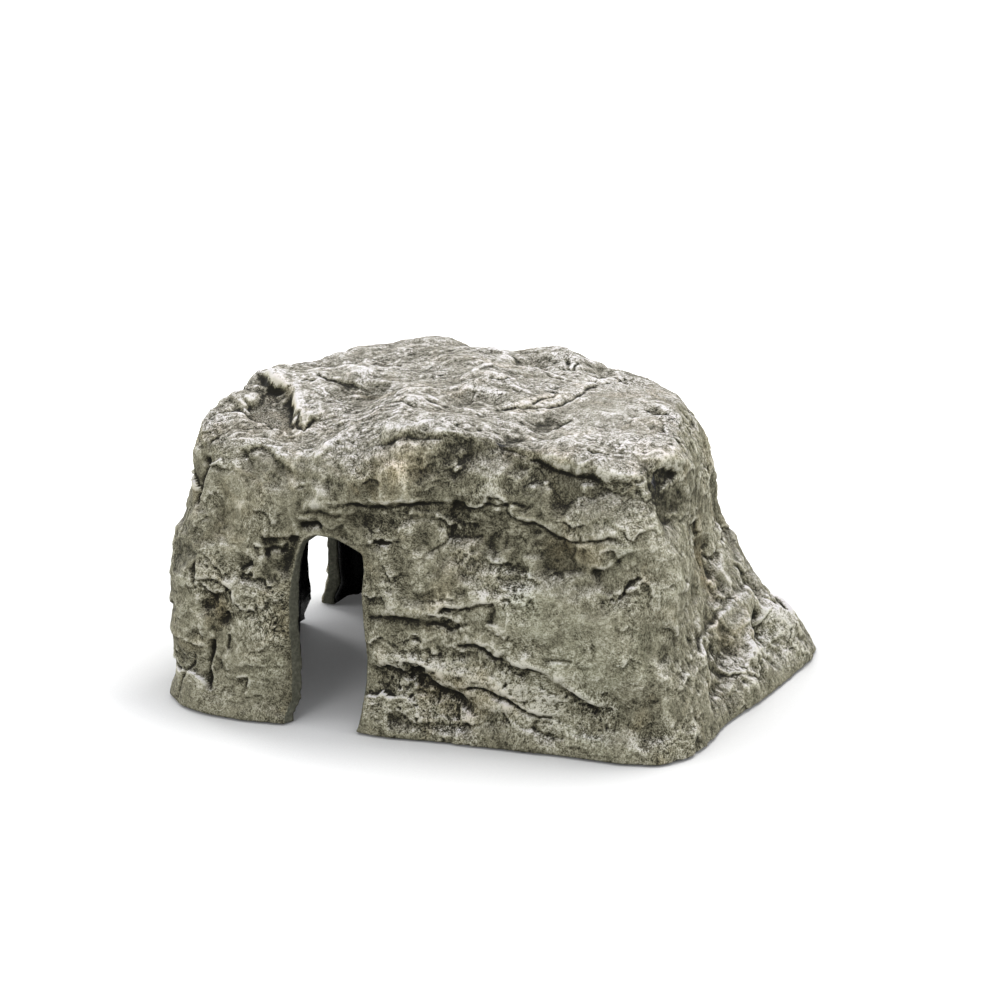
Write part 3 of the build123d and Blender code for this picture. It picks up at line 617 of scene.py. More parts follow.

# Patches of paint. Their brightness is partly the paint's own tone and partly painted shade in
# dents and hollows and painted highlight on bumps and upward faces. Each row is: radius brightness
# warmth: points, laid out as above.
TONE_AND_SHADE_TABLE = """
12 -0.2 0: -13.2 -87.3 111.4, 7 -85.4 112.7
8 -0.3 0: -45.9 -86.8 107, -33.2 -87.1 108.4
11 -0.35 0.1: 13.8 -79.1 140.9, 3.5 -83.6 129.5
14 -0.25 0: -69 -22.4 145.4, -60.9 -20.5 145.6
12 -0.45 0.2: -100.2 -40 143.4, -89 -53.3 139
9 -0.45 0: 35 -35.8 144.4, 38.3 -28.9 144.7
16 -0.25 0.8: 60.8 -88.1 92.5, 75.4 -88.4 92.2
10 -0.4 0.1: 105.4 -66.5 124.5, 107 -64.8 117.3
6 0.25 -0.8: 86.8 -87.5 93.5, 92.7 -84.8 98.2
14 0.12 -0.5: 79.3 -85.7 110.2
28 0.15 -0.5: 82.1 -93.6 53.4, 62.1 -91.9 65.4
18 0.35 0: 62.9 -93.9 26.5, 48.1 -93.8 29.7
16 -0.12 0: -5.6 -96.5 23.5, -17.7 -96.2 28.1
12 0.2 0.1: 33.6 -94.6 23.3, 41.3 -93.9 29
12 0.15 0.15: 14.5 -93.8 44.9, 23.3 -93.5 37.8
10 0.25 0.45: -14.2 -83.8 132.8, -19.9 -84.6 128.6
10 -0.2 0.35: 101.8 -93.5 20.9, 104.1 -94.4 12.5
30 0.15 0: 63.3 -16.1 143.9, 81 -8.6 144.9
16 0.25 0.2: 64.5 31.7 142.5, 72 48.3 138.6
30 -0.05 0: -0.5 -20.8 147, -17.1 -31.8 146
28 0.08 0: -94.3 -86.5 97.1, -81.1 -85.8 108.2
12 -0.3 0: -79.8 -90.5 78.8, -73.1 -89.4 82.2
12 -0.2 0: -78.9 -94 52.9, -75.9 -94.3 46.3
7 -0.25 0.5: -110.1 -93 54.3, -108 -93.4 48.6
12 -0.2 0.5: 104 17.2 63.7, 105.8 18.4 57.2
14 -0.3 0.1: 117.5 -16 30.8, 121 -35.6 17.6
18 0.2 -0.15: 104 -79.1 95.1, 109.5 -75.9 84.9
16 0.05 0.1: 108.1 -80.6 76.4, 114.3 -77.5 56.4
14 0.35 0: 128.6 50.5 23.2, 134.4 52.7 14.6
12 0.1 -0.45: 64.4 -98.5 7.3, 94.1 -99.9 6.4
14 -0.08 0.15: 35.1 -99.2 7.6, 5.6 -100.2 8
30 0.05 0.1: 8.5 -93.5 60.1, -15.8 -95.4 48.2
24 -0.12 0: 68 -80.6 130.9, 78.5 -83.2 123
24 -0.1 -0.1: 45.6 -86.4 101.2, 30.4 -84.9 109
16 0.08 0: -16.5 -92.7 82.1, -27 -91.2 85.5
10 -0.3 0.1: -110.4 -27 147.1
9 0.4 0: -85.5 1.2 147.8, -68.5 -2.5 148.2
12 0.35 0: -87.9 -36.9 143.6, -93.5 -24.8 146.9
22 0.12 0: 86.8 -46 139.7, 67.5 -46.8 140.6
12 -0.05 0: 96.7 6.7 133.1, 96.2 27.9 119.5
8 -0.1 0: 1.3 -86.2 110, -28.1 -87.5 106
19 -0.2 0: 31 -86.8 99.9, 60.3 -86.7 99.9
13 -0.15 0: 15.9 -85.7 106.8
10 -0.15 0.2: -18.4 -86.2 121.3, -49 -84.7 116.5
11 0.35 0: 56.9 -93.7 29.7
9 -0.4 0.1: 78.9 -94.9 21.7, 70.8 -94.1 27.4
6 -0.4 0: -13.6 -96.2 32.6, 9.1 -95.6 23.9
22 0.18 -0.2: 47.2 -91.1 73.4, 82 -93.2 58.2
8 -0.6 0: 106.3 -62.8 123.5
10 -0.35 0: 118.3 -26.4 28.4
7 -0.3 0: 105.6 22.8 57.9
12 -0.45 0: 34 -62.6 143.9
9 -0.25 0: -136.3 -76.1 71.5
7 0.35 0: -125.5 -88.3 54.2
6 -0.5 0: -109 -93.3 51.4
8 -0.35 0: -76.1 -89.5 82.4
18 0.12 0: -101.2 -84 105.7
4 -0.5 0: 23.2 -93.2 44.2, 45 -93.3 37.2
4 -0.4 0: 3.7 -94 58.8, -15.8 -95 59.5
9 0.25 0: 109.8 -17.9 45.9, 106.5 -24.8 58
6 0.4 0: 123.9 9.5 22.9, 120.4 26.4 32.4
9 0.2 0: 79.7 -86.7 102.3, 88.6 -84.3 107.3
20 0.05 0.1: 62.7 -30.9 143.1, 55 -54.1 141.5
10 -0.3 0: -71.1 -16.7 147.2
20 0.14 0: 109.8 -56.3 93.4, 113.7 -76 65.7
13 0.3 0: 102.2 34.6 73.5, 110.4 16.8 49
22 0.14 0: -97.4 -94.6 38.9, -92.1 -95.8 23.6
12 0.12 0: 63.1 -86.1 102.9, 70.4 -87.9 94.4
6 -0.2 0: -69.1 -85.5 106.8, -53.5 -86.6 105.2
12 -0.15 0: 99.1 -86.5 82.3, 100.4 -90 59.1
"""


def table_rows(text):
    """The words before the colon and the points after it, for each row."""
    for row in text.replace(",\n", ",").strip().splitlines():
        head, tail = row.split(":")
        yield head.split(), [tuple(map(float, p.split())) for p in tail.split(",")]


FEATURES = [
    Feature(kind, points, *map(float, sizes))
    for (kind, *sizes), points in table_rows(FEATURE_TABLE)
]

# ranges of width, height and reach for the scattered features
SCATTER_SIZES = {
    "groove": [(1.0, 1.6), (0.6, 1.3)],
    "step": [(3.5, 6), (1.2, 3.0), (9, 16)],
    "ridge": [(4, 7), (1.0, 1.9)],
    "dent": [(8, 16), (1.4, 3.2)],
    "bump": [(8, 16), (1.4, 3.2)],
}
SCATTER_KINDS = ["groove", "step", "dent", "ridge", "bump", "step", "groove"]
SCATTER_GAP = 19
SCATTER_TRIES = 4000


def scattered(base, normals, count, seed):
    """More features, for the back, the left and the rear of the top."""
    r = np.random.default_rng(seed)
    found = []
    placed = []
    tries = 0
    while len(placed) < count and tries < SCATTER_TRIES:
        tries += 1
        i = r.integers(len(base))
        p, n = base[i], normals[i]
        plain = n[1] > 0.25 or n[0] < -0.55 or (n[2] > 0.7 and p[1] > 40)
        kept_clear = n[0] < -0.5 and 40 < p[1] < 95 and p[2] < 95
        if not plain or p[2] < 10 or kept_clear:
            continue
        if any(np.linalg.norm(p - other) < SCATTER_GAP for other in placed):
            continue
        placed.append(p)
        across = np.cross(n, [0, 0, 1.0] if abs(n[2]) < 0.8 else [0, 1.0, 0])
        across /= np.linalg.norm(across)
        upward = np.cross(n, across)
        angle = r.normal(0.25, 0.45)
        kind = r.choice(SCATTER_KINDS)
        length = r.uniform(22, 58)
        line = []
        for s in np.linspace(-0.5, 0.5, r.integers(5, 9)):
            angle += r.normal(0, 0.22)
            heading = across * math.cos(angle) + upward * math.sin(angle)
            line.append(tuple(p + heading * s * length))
        if kind in ("dent", "bump"):
            line = line[:2]
        sizes = [r.uniform(*limits) for limits in SCATTER_SIZES[kind]]
        found.append(Feature(kind, line, *sizes))
    return found


def near_line(p, n, line):
    """Each point's distance across the surface to a line, its side, its share of the way
    along and its height above the line."""
    a = np.array(line, float)
    if len(a) == 1:
        diff = p - a[0]
        up = (diff * n).sum(1)
        across = diff - up[:, None] * n
        return np.linalg.norm(across, axis=1), np.ones(len(p)), np.full(len(p), 0.5), up
    lengths = np.linalg.norm(a[1:] - a[:-1], axis=1)
    total = lengths.sum()
    best = np.full(len(p), 1e9)
    side = np.ones(len(p))
    along = np.zeros(len(p))
    above = np.zeros(len(p))
    start = 0.0
    for k in range(len(a) - 1):
        ab = a[k + 1] - a[k]
        t = np.clip(((p - a[k]) @ ab) / (ab @ ab), 0, 1)
        diff = p - (a[k] + t[:, None] * ab)
        up = (diff * n).sum(1)
        across = diff - up[:, None] * n
        d = np.linalg.norm(across, axis=1) + 0.15 * np.abs(up)
        closer = d < best
        best = np.where(closer, d, best)
        side = np.where(closer, np.sign((np.cross(n, ab) * across).sum(1)), side)
        along = np.where(closer, (start + t * lengths[k]) / total, along)
        above = np.where(closer, up, above)
        start += lengths[k]
    return best, side, along, above


def profile(feature, d, side, ends, uneven, flat):
    """Height of a shape at distance d; flat is 1 on the top and 0 on the walls."""
    kind, _, width, height, reach = feature
    # on the top, long shapes are lower and broader
    if kind in ("step", "ridge", "fold"):
        height = height * (1 - 0.55 * flat)
        reach = reach * (1 + flat)
        width = width * (1 + 0.5 * flat)
    if kind == "groove":
        w = width * (0.85 + 0.5 * np.clip(uneven, -0.6, 0.8))
        return -height * (bell(d, w, 1.7) + 0.2 * bell(d, 3.2 * w)) * ends
    if kind == "trough":
        return -height * bell(d, width, 4) * ends
    if kind == "ridge":
        return 0.85 * height * bell(d, width * np.where(side > 0, 1.9, 1.15), 1.35) * ends
    if kind == "step":
        edge = np.tanh(side * d / (0.28 * width))
        return 0.72 * height * edge * bell(d, 1.7 * reach, 1.25) * ends
    if kind == "fold":
        return height * np.tanh(side * d / width) * bell(d, reach, 1.5) * ends
    if kind == "bump":
        return (1.2 - 0.4 * flat) * height * bell(d, 1.2 * width)
    if kind == "dent":
        return -(1.2 - 0.35 * flat) * height * bell(d, 1.15 * width)
    return height * (bell(d - width, 0.4 * width) - 0.9 * bell(d, 0.6 * width))  # ring


def carve(p, warped, n, features, uneven):
    """Relief of the features: heights, and how calm and how crumbly the noise is there."""
    heights = np.zeros(len(p))
    calm = np.zeros(len(p))
    crumb = np.zeros(len(p))
    for feature in features:
        kind, line, width, height, reach = feature
        a = np.array(line, float)
        far = 3.2 * max(width, reach)
        near = np.where(((p > a.min(0) - far) & (p < a.max(0) + far)).all(1))[0]
        if not len(near):
            continue
        d, side, along, above = near_line(warped[near], n[near], line)
        level = 1 - smooth_step(np.abs(above), 9, 16)
        level = level * np.clip(1 + 0.6 * uneven[near], 0.3, 1.7)
        if kind == "calm":
            calm[near] = np.maximum(calm[near], height * bell(d, width, 3) * level)
        elif kind == "coarse":
            crumb[near] = np.maximum(crumb[near], height * bell(d, width) * level)
        else:
            flat = smooth_step(n[near][:, 2].mean(), 0.45, 0.8)
            ends = 1.0
            if len(line) > 2:
                ends = smooth_step(along, -0.02, 0.16) * (1 - smooth_step(along, 0.84, 1.02))
            heights[near] += profile(feature, d, side, ends, uneven[near], flat) * level
    return heights, calm, crumb


def stone_relief(p, warped, warp, fine_warp, n, features):
    """Height of the whole relief, and how rough the stone is."""
    uneven = noise(p, 13, 7) + 0.35 * noise(p, 5, 8)
    front = smooth_step(-n[:, 1], 0.45, 0.8)
    right = smooth_step(n[:, 0], 0.45, 0.8)
    top = smooth_step(n[:, 2], 0.55, 0.85)
    rear = smooth_step(n[:, 1], 0.3, 0.7) * (1 - top)
    shape, calm, crumb = carve(p, warped, n, features, uneven)

    # where the stone is broken up more
    patch = smooth_step(fbm(p, 30, octaves=2, seed=41), -0.25, 0.35)
    patch2 = smooth_step(fbm(p, 19, octaves=2, seed=42), -0.1, 0.4)
    quiet = 1 - np.clip(calm, 0, 0.9)

    # large swells, boulder faces, then chips, crumbs and fissures
    broad = 3.0 * fbm(p, 56, octaves=2, seed=51)
    boulders = 10.0 * facets(p + 1.0 * warp, 36, 52) * (0.7 + 0.3 * top + 0.4 * right)
    chips = 3.6 * facets(stretched(p, (0.9, 0.2, -0.3), 1.5) + 0.8 * warp, 15, 54)
    chips = chips * (0.25 + 0.6 * top + 0.7 * right + 0.35 * patch + 0.6 * rear)
    crumbs = 1.1 * facets(stretched(p, (0.95, 0.25, -0.1), 1.6) + 0.5 * fine_warp, 5.5, 57)
    chips += crumbs * (0.2 + 0.75 * top + 0.6 * right + 0.5 * crumb + 0.4 * rear)
    cracked = stretched(warped, (0.9, 0.1, -0.35), 2.2) + 1.5 * warp
    fissures = ridged(cracked, 9, octaves=4, seed=56) - 0.5
    chips += fissures * (0.25 + 0.5 * patch2 + 0.8 * crumb + 0.7 * top + 0.5 * right)

    # streaks: down the slope on the walls, near the X axis on the top
    swept = p + 4.0 * warp
    slope_streak = ridged(stretched(swept, (0.35, 0.35, -0.86), 3.2), 6.5, octaves=3, seed=31)
    slope_streak = slope_streak - 0.45
    top_streak = ridged(stretched(swept, (0.95, 0.25, 0.05), 2.6), 6.0, octaves=3, seed=32)
    top_streak = top_streak - 0.45
    streaks = 0.9 * right * slope_streak + 0.9 * top * top_streak
    streaks += 0.5 * (1 - np.maximum(np.maximum(front, right), top)) * slope_streak

    # ledges: nearly level beds, 15 mm apart, on the walls
    bed = (p[:, 2] + 0.12 * p[:, 0] + 9.0 * warp[:, 0] + 3.0 * fine_warp[:, 1]) / 15.0
    saw = bed - np.floor(bed)
    ledge = smooth_step(saw, 0.0, 0.16) * (1 - saw) * 2 - 0.8
    streaks += ledge * (1 - top) * (0.35 + patch2)

    # the finest relief: winding threads, grain and small pits
    worm = 1 - smooth_step(np.abs(noise(warped, 4.6, 63)), 0.0, 0.35)
    grain = 0.14 * noise(p, 2.7, 61) + 0.10 * noise(p, 1.9, 62) + 0.16 * (worm - 0.4)
    rough = np.clip(0.55 + 0.35 * patch2 + 0.6 * crumb - 0.35 * calm, 0.3, 1.6)
    pitted = np.clip(0.15 * patch + 0.8 * crumb + 0.15 * top, 0, 1.1)
    pits = -0.7 * smooth_step(noise(p, 3.2, 64), 0.40, 0.62) * pitted

    texture = 0.6 * broad + 0.85 * boulders + 0.8 * chips + 0.85 * streaks
    return shape + 0.4 * broad + quiet * texture + rough * (grain + pits), rough


# ---------------------------------------------------------------- node trees
class Nodes:
    """Short calls for building a node tree."""

    def __init__(self, owner, output):
        owner.use_nodes = True
        self.tree = owner.node_tree
        self.tree.nodes.clear()
        self.out = self.add(output)

    def add(self, kind, inputs=None, **settings):
        node = self.tree.nodes.new(kind)
        for name, value in settings.items():
            setattr(node, name, value)
        for key, value in (inputs or {}).items():
            self.put(node.inputs[key], value)
        return node

    def put(self, socket, value):
        if isinstance(value, bpy.types.NodeSocket):
            self.tree.links.new(value, socket)
        elif value is not None:
            socket.default_value = value

    def remap(self, value, low, high, to_low=0.0, to_high=1.0):
        inputs = dict(enumerate((value, low, high, to_low, to_high)))
        return self.add("ShaderNodeMapRange", inputs).outputs[0]


class Paint(Nodes):
    """A material around one Principled shader."""

    def __init__(self, name):
        self.mat = bpy.data.materials.new(name)
        super().__init__(self.mat, "ShaderNodeOutputMaterial")
        self.bsdf = self.add("ShaderNodeBsdfPrincipled")
        self.put(self.out.inputs["Surface"], self.bsdf.outputs[0])
        self.coord = self.add("ShaderNodeTexCoord").outputs["Object"]

    def surface(self, inputs):
        for name, value in inputs.items():
            self.put(self.bsdf.inputs[name], value)
        return self.mat

    def math(self, operation, a, b=None, c=None, clamp=False):
        inputs = {0: a, 1: b, 2: c}
        node = self.add("ShaderNodeMath", inputs, operation=operation, use_clamp=clamp)
        return node.outputs[0]

    def add_scaled(self, total, signal, amount):
        return self.math("MULTIPLY_ADD", signal, amount, total)

    def centred(self, signal, middle=0.5):
        return self.math("SUBTRACT", signal, middle)

    def noise(self, scale, detail, rough=0.5, distort=0.0, vector=None):
        inputs = {
            "Scale": scale,
            "Detail": detail,
            "Roughness": rough,
            "Distortion": distort,
            "Vector": vector or self.coord,
        }
        return self.add("ShaderNodeTexNoise", inputs).outputs["Fac"]

    def mapping(self, **inputs):
        inputs["Vector"] = self.coord
        return self.add("ShaderNodeMapping", inputs).outputs[0]

    def attribute(self, name):
        return self.add("ShaderNodeAttribute", attribute_name=name).outputs["Fac"]

    def ramp(self, value, stops):
        """stops are pairs of a position and a colour."""
        node = self.add("ShaderNodeValToRGB", {0: value})
        elements = node.color_ramp.elements
        while len(elements) < len(stops):
            elements.new(0.5)
        for element, (position, colour) in zip(elements, stops):
            element.position = position
            element.color = (*colour, 1)
        return node.outputs[0]

    def mix(self, share, a, b, kind="MIX"):
        a, b = ((*c, 1) if isinstance(c, tuple) else c for c in (a, b))
        node = self.add(
            "ShaderNodeMix", data_type="RGBA", blend_type=kind, clamp_factor=True
        )
        for index, value in ((0, share), (6, a), (7, b)):
            self.put(node.inputs[index], value)
        return node.outputs[2]

    def tinted(self, colour, tint):
        return self.mix(1.0, colour, tint, kind="MULTIPLY")

    def bump(self, height, distance, strength):
        inputs = {"Distance": distance, "Strength": strength, "Height": height}
        return self.add("ShaderNodeBump", inputs).outputs[0]


# ---------------------------------------------------------------- materials
def stone_material():
    m = Paint("painted_stone")
    normal = m.add("ShaderNodeNewGeometry").outputs["Normal"]
    normal_z = m.add("ShaderNodeSeparateXYZ", {0: normal}).outputs["Z"]
    upward = m.remap(normal_z, low=0.30, high=0.85)
    fine_paint_and_shading, mid_paint_and_shading, wide_paint_and_shading = (m.attribute(name) for name in ("fine_paint_and_shading", "mid_paint_and_shading", "wide_paint_and_shading"))
    tone_and_shade, warm, cut, coarse = (m.attribute(name) for name in ("tone_and_shade", "warm", "cut", "coarse"))
    lean = m.mapping(Rotation=(0.25, 0.45, 0.0), Scale=(1.0, 1.0, 0.66))
    level = m.mapping(Rotation=(0.1, -0.1, 0.0), Scale=(0.75, 1.0, 1.0))
    which = m.remap(m.noise(scale=30, detail=2.0), low=0.42, high=0.58)

    def worms(scale, vector):
        """Winding threads, where the noise crosses its middle."""
        field = m.noise(scale, detail=1.5, rough=0.55, distort=0.9, vector=vector)
        distance = m.math("ABSOLUTE", m.centred(field))
        return m.math("SUBTRACT", 1.0, m.math("MULTIPLY", distance, 8.0, clamp=True))

    def either(a, b):
        """a in some places and b in the others."""
        b_part = m.math("MULTIPLY", b, m.math("SUBTRACT", 1.0, which))
        return m.math("ADD", m.math("MULTIPLY", a, which), b_part)

    worm = either(worms(700, lean), worms(650, level))
    fine_worm = either(worms(1150, lean), worms(1050, level))
    crust = m.add_scaled(m.math("MULTIPLY", fine_worm, 0.4), worm, 0.6)
    grit = m.noise(scale=1100, detail=3.0, rough=0.65)
    coarse_grit = m.noise(scale=600, detail=2.0, rough=0.6)
    blotch = m.noise(scale=95, detail=4.0, rough=0.6, distort=0.6)
    cloud = m.noise(scale=24, detail=3.0, rough=0.55, distort=0.8)

    # fine speckle, stronger on rough stone and on top
    speck = m.math("MULTIPLY", m.centred(coarse_grit), 0.45)
    speck = m.add_scaled(speck, m.centred(grit), 0.75)
    speck = m.add_scaled(speck, m.centred(crust, middle=0.42), 0.75)
    by_roughness = m.remap(coarse, low=0.25, high=1.4, to_low=0.5, to_high=1.4)
    gain = m.math("MULTIPLY", by_roughness, m.add_scaled(1.0, upward, 0.35))
    speck = m.math("MULTIPLY", speck, gain)

    # paint value: a middle shade plus each signal times its strength
    value = m.math("ADD", 0.455, speck)
    for signal, strength in (
        # crests lighter and hollows darker at three sizes, more so on upward faces: partly the
        # real wash and dry-brush, partly painted highlight and painted shade
        (m.math("MULTIPLY", fine_paint_and_shading, m.add_scaled(1.0, upward, 0.7)), 0.68),
        (mid_paint_and_shading, 0.18),
        (wide_paint_and_shading, 0.055),
        # patches lighter and darker: partly the paint's own tone, partly painted shade in dents
        # and painted highlight on bumps
        (tone_and_shade, 0.36),
        (m.centred(blotch), m.add_scaled(0.55, upward, 0.15)),
        (m.centred(cloud), 0.30),
        # upward faces a little lighter: painted highlight on the top
        (upward, 0.06),
    ):
        value = m.add_scaled(value, signal, strength)
    # from dark hollows to pale crests; the hollows' dark is partly painted shade and the crests'
    # pale partly painted highlight
    colour = m.ramp(value, [
        (0.00, (0.014, 0.013, 0.008)),
        (0.20, (0.062, 0.057, 0.034)),
        (0.40, (0.166, 0.155, 0.104)),
        (0.58, (0.284, 0.268, 0.186)),
        (0.76, (0.460, 0.440, 0.325)),
        (1.00, (0.755, 0.730, 0.620)),
    ])

    # brown and green drifts, and a greyer top
    drift = m.noise(scale=38, detail=3.0, rough=0.6, distort=1.0)
    hue = m.add_scaled(warm, m.centred(drift), 2.2)
    brown = m.math("MULTIPLY", m.remap(hue, low=0.12, high=0.9), 0.75)
    green = m.math("MULTIPLY", m.remap(hue, low=-0.12, high=-0.9), 0.6)
    grey = m.math("MULTIPLY", upward, 0.85)
    colour = m.mix(brown, colour, m.tinted(colour, (1.06, 0.93, 0.74)))
    greened = m.mix(green, colour, m.tinted(colour, (0.95, 1.0, 0.97)))
    colour = m.mix(grey, greened, m.tinted(greened, (0.98, 0.98, 1.20)))

    # darker paint on the cut surfaces of the doorways and the rim
    cut_value = m.add_scaled(0.5, m.centred(blotch), 0.5)
    cut_value = m.add_scaled(cut_value, m.centred(coarse_grit), 0.9)
    cut_paint = m.ramp(cut_value, [
        (0.1, (0.070, 0.070, 0.050)),
        (0.5, (0.135, 0.135, 0.100)),
        (0.9, (0.26, 0.26, 0.20)),
    ])
    relief = m.add_scaled(m.math("MULTIPLY", grit, 0.3), coarse_grit, 0.4)
    relief = m.add_scaled(relief, crust, 0.55)
    return m.surface({
        "Base Color": m.mix(m.remap(cut, low=0.35, high=0.75), colour, cut_paint),
        "Roughness": m.remap(value, low=0.1, high=0.9, to_low=0.72, to_high=0.86),
        "Specular IOR Level": 0.22,
        "Normal": m.bump(relief, distance=0.0008, strength=0.75),
    })


def black_material():
    m = Paint("black_resin")
    lumps = m.noise(scale=70, detail=3.0)
    weave = m.noise(scale=520, detail=2.0, rough=0.6)
    relief = m.add_scaled(m.math("MULTIPLY", weave, 0.35), lumps, 3.0)
    colour = m.ramp(lumps, [(0.3, (0.0045, 0.0045, 0.005)), (0.7, (0.012, 0.012, 0.012))])
    return m.surface({
        "Base Color": colour,
        "Roughness": m.remap(weave, low=0.3, high=0.7, to_low=0.16, to_high=0.38),
        "Specular IOR Level": 0.5,
        "Normal": m.bump(relief, distance=0.0006, strength=0.6),
    })


def pad_material():
    m = Paint("soft_pad")
    grain = m.noise(scale=1500, detail=3.0, rough=0.6)
    colour = m.ramp(grain, [(0.3, (0.018, 0.018, 0.019)), (0.7, (0.045, 0.045, 0.046))])
    return m.surface({
        "Base Color": colour,
        "Roughness": m.remap(grain, low=0.3, high=0.7, to_low=0.6, to_high=0.85),
        "Normal": m.bump(grain, distance=0.0001, strength=0.6),
    })


def floor_material():
    """Pale floor: to the camera, its colour darkened close to the rock, a painted contact shadow,
    and a glow further off that fades to a faint glow close by and inside the cave, painted light
    there; greyer to indirect light.
    """
    m = Paint("pale_floor")
    seen = m.add("ShaderNodeLightPath").outputs["Is Camera Ray"]
    # camera-seen colour darkened by ambient occlusion near the rock: a painted contact shadow
    openness = m.add("ShaderNodeAmbientOcclusion", {"Distance": 0.11}, samples=4).outputs["AO"]
    painted_contact_shadow = m.remap(openness, low=0.30, high=0.98, to_low=0.44, to_high=0.79)
    painted_contact_shadow = m.add("ShaderNodeCombineColor", {0: painted_contact_shadow, 1: painted_contact_shadow, 2: painted_contact_shadow}).outputs[0]
    # the floor glows to the camera: white far off, fading towards the rock to a faint glow that is
    # painted light on the floor close by and inside the cave
    oval = m.mapping(Scale=(6.2, 8.0, 1.0))
    distance = m.add("ShaderNodeVectorMath", {0: oval}, operation="LENGTH").outputs["Value"]
    glow = m.remap(distance, low=1.25, high=3.2, to_low=0.055, to_high=1.0)
    return m.surface({
        "Base Color": m.mix(seen, (0.30, 0.30, 0.29), painted_contact_shadow),
        "Emission Strength": m.math("MULTIPLY", seen, glow),
        "Emission Color": (1, 1, 1, 1),
        "Roughness": 0.6,
        "Specular IOR Level": 0.2,
    })


# ---------------------------------------------------------------- the stone skin
def voxel_copy(node, size, name):
    """A closed, evenly meshed copy of a CAD node."""
    ob = link(bpy.data.objects.new(name, node.data.copy()))
    remesh = ob.modifiers.new("remesh", "REMESH")
    remesh.mode = "VOXEL"
    remesh.voxel_size = size
    remesh.adaptivity = 0
    depsgraph = bpy.context.evaluated_depsgraph_get()
    new = bpy.data.meshes.new_from_object(ob.evaluated_get(depsgraph))
    ob.modifiers.clear()
    ob.data = new
    new.name = name
    new.materials.clear()
    return ob


def stone_skin():
    skin = voxel_copy(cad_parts["stone_skin"], VOXEL * MM, "rock_skin")
    me = skin.data
    cad_points, edges, tris = read_mesh(me)
    spread = spreader(edges, len(cad_points))
    depth = depth_below_face(cad_points)
    z = cad_points[:, 2]
    outer = (depth < 0.95) & (z > RIM_TOP)
    not_outer = np.where(outer, 0.0, 1.0)

    # round the CAD's facets off, but leave the doorways' edges and the rim where they are
    hold = np.where(outer, np.clip(spread(not_outer, 14) * 2.2, 0, 1), 1.0)
    low = 1 - smooth_step(z, 2.0, 9.0)
    hold = np.maximum(hold, np.where(outer, 0.9 * low, 1.0))
    base = spread(cad_points, 120, hold)

    # how close a point is to a doorway's edge
    door = np.clip(2.2 * spread(np.where((~outer) & (z > 3.0), 1.0, 0.0), 26), 0, 1)

    # the outer face's directions carry on into the doorways' sides, and lie level at the foot
    raw = normals_of(base, tris)
    flow = spread(np.where(outer[:, None], raw, 0.0), 24)
    normals = np.where(outer[:, None], spread(raw, 8), flow)
    foot = 1 - smooth_step(base[:, 2], 3.0, 12.0)
    normals[:, 2] *= 1 - foot
    normals /= np.linalg.norm(normals, axis=1, keepdims=True) + 1e-9

    # the relief fades out over the shell's thickness; live points are those it moves
    weight = np.where(outer, 1.0, np.clip(1 - depth / 6.2, 0, 1))
    live = np.where(weight > 0)[0]
    p, n = base[live], normals[live]
    warp = np.stack([noise(p, 11, seed) for seed in (1, 2, 3)], 1)
    fine_warp = np.stack([noise(p, 3.6, seed) for seed in (4, 5, 6)], 1)
    warped = p + 2.4 * warp + 0.5 * fine_warp
    features = FEATURES + scattered(base[outer], normals[outer], count=64, seed=5)
    relief, rough = stone_relief(p, warped, warp, fine_warp, n, features)
    relief *= 1 - 0.5 * foot[live]
    relief *= 1 - 0.7 * door[live]
    heights = np.zeros(len(base))
    heights[live] = np.clip(relief, -5.0, 7.5) * weight[live]

    final = base + normals * heights[:, None]
    # the lower walls stand out a little further
    flare = 0.9 * outer * (1 - smooth_step(base[:, 2], 6.0, 22.0)) * (1 - door)
    final += normals * flare[:, None]
    final[:, 2] = np.maximum(final[:, 2], RIM_Z)
    underside = z < RIM_TOP
    final[underside, 2] = np.maximum(z[underside], RIM_Z)
    write_points(me, final)

    tone_and_shade = np.zeros(len(base))
    warm = np.zeros(len(base))
    # patches of paint: brightness partly painted shade and painted highlight, warmth the paint's
    # own hue
    for sizes, line in table_rows(TONE_AND_SHADE_TABLE):
        radius, brightness, warmth = map(float, sizes)
        d, _, _, above = near_line(warped, n, line)
        patch = bell(d, radius) * (1 - smooth_step(np.abs(above), 10, 20))
        tone_and_shade[live] += brightness * patch
        warm[live] += warmth * patch
    coarse = np.zeros(len(base))
    coarse[live] = rough
    # what the paint follows: height above the surroundings at three sizes (crests lighter and
    # hollows darker, partly the real wash and dry-brush, partly painted highlight and painted
    # shade), patches of tone and painted shade, cuts
    for name, values in (
        ("fine_paint_and_shading", heights - spread(heights, 3)),
        ("mid_paint_and_shading", heights - spread(heights, 26)),
        ("wide_paint_and_shading", heights - spread(heights, 160)),
        ("tone_and_shade", tone_and_shade),
        ("warm", warm),
        ("cut", spread(not_outer, 1)),
        ("coarse", coarse),
    ):
        layer = me.attributes.new(name, "FLOAT", "POINT")
        layer.data.foreach_set("value", values.astype(np.float32))
    shade_smooth(me)
    me.materials.append(stone_material())
    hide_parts("stone_skin")
    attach(skin, "root")


# ---------------------------------------------------------------- the black backing
def refine(bm, longest, rounds):
    """Halves long edges until none is left or the rounds are over."""
    for _ in range(rounds):
        bmesh.ops.triangulate(bm, faces=bm.faces[:])
        long_edges = [e for e in bm.edges if e.calc_length() > longest]
        if not long_edges:
            break
        bmesh.ops.subdivide_edges(bm, edges=long_edges, cuts=1, use_grid_fill=False)
    bmesh.ops.triangulate(bm, faces=bm.faces[:])


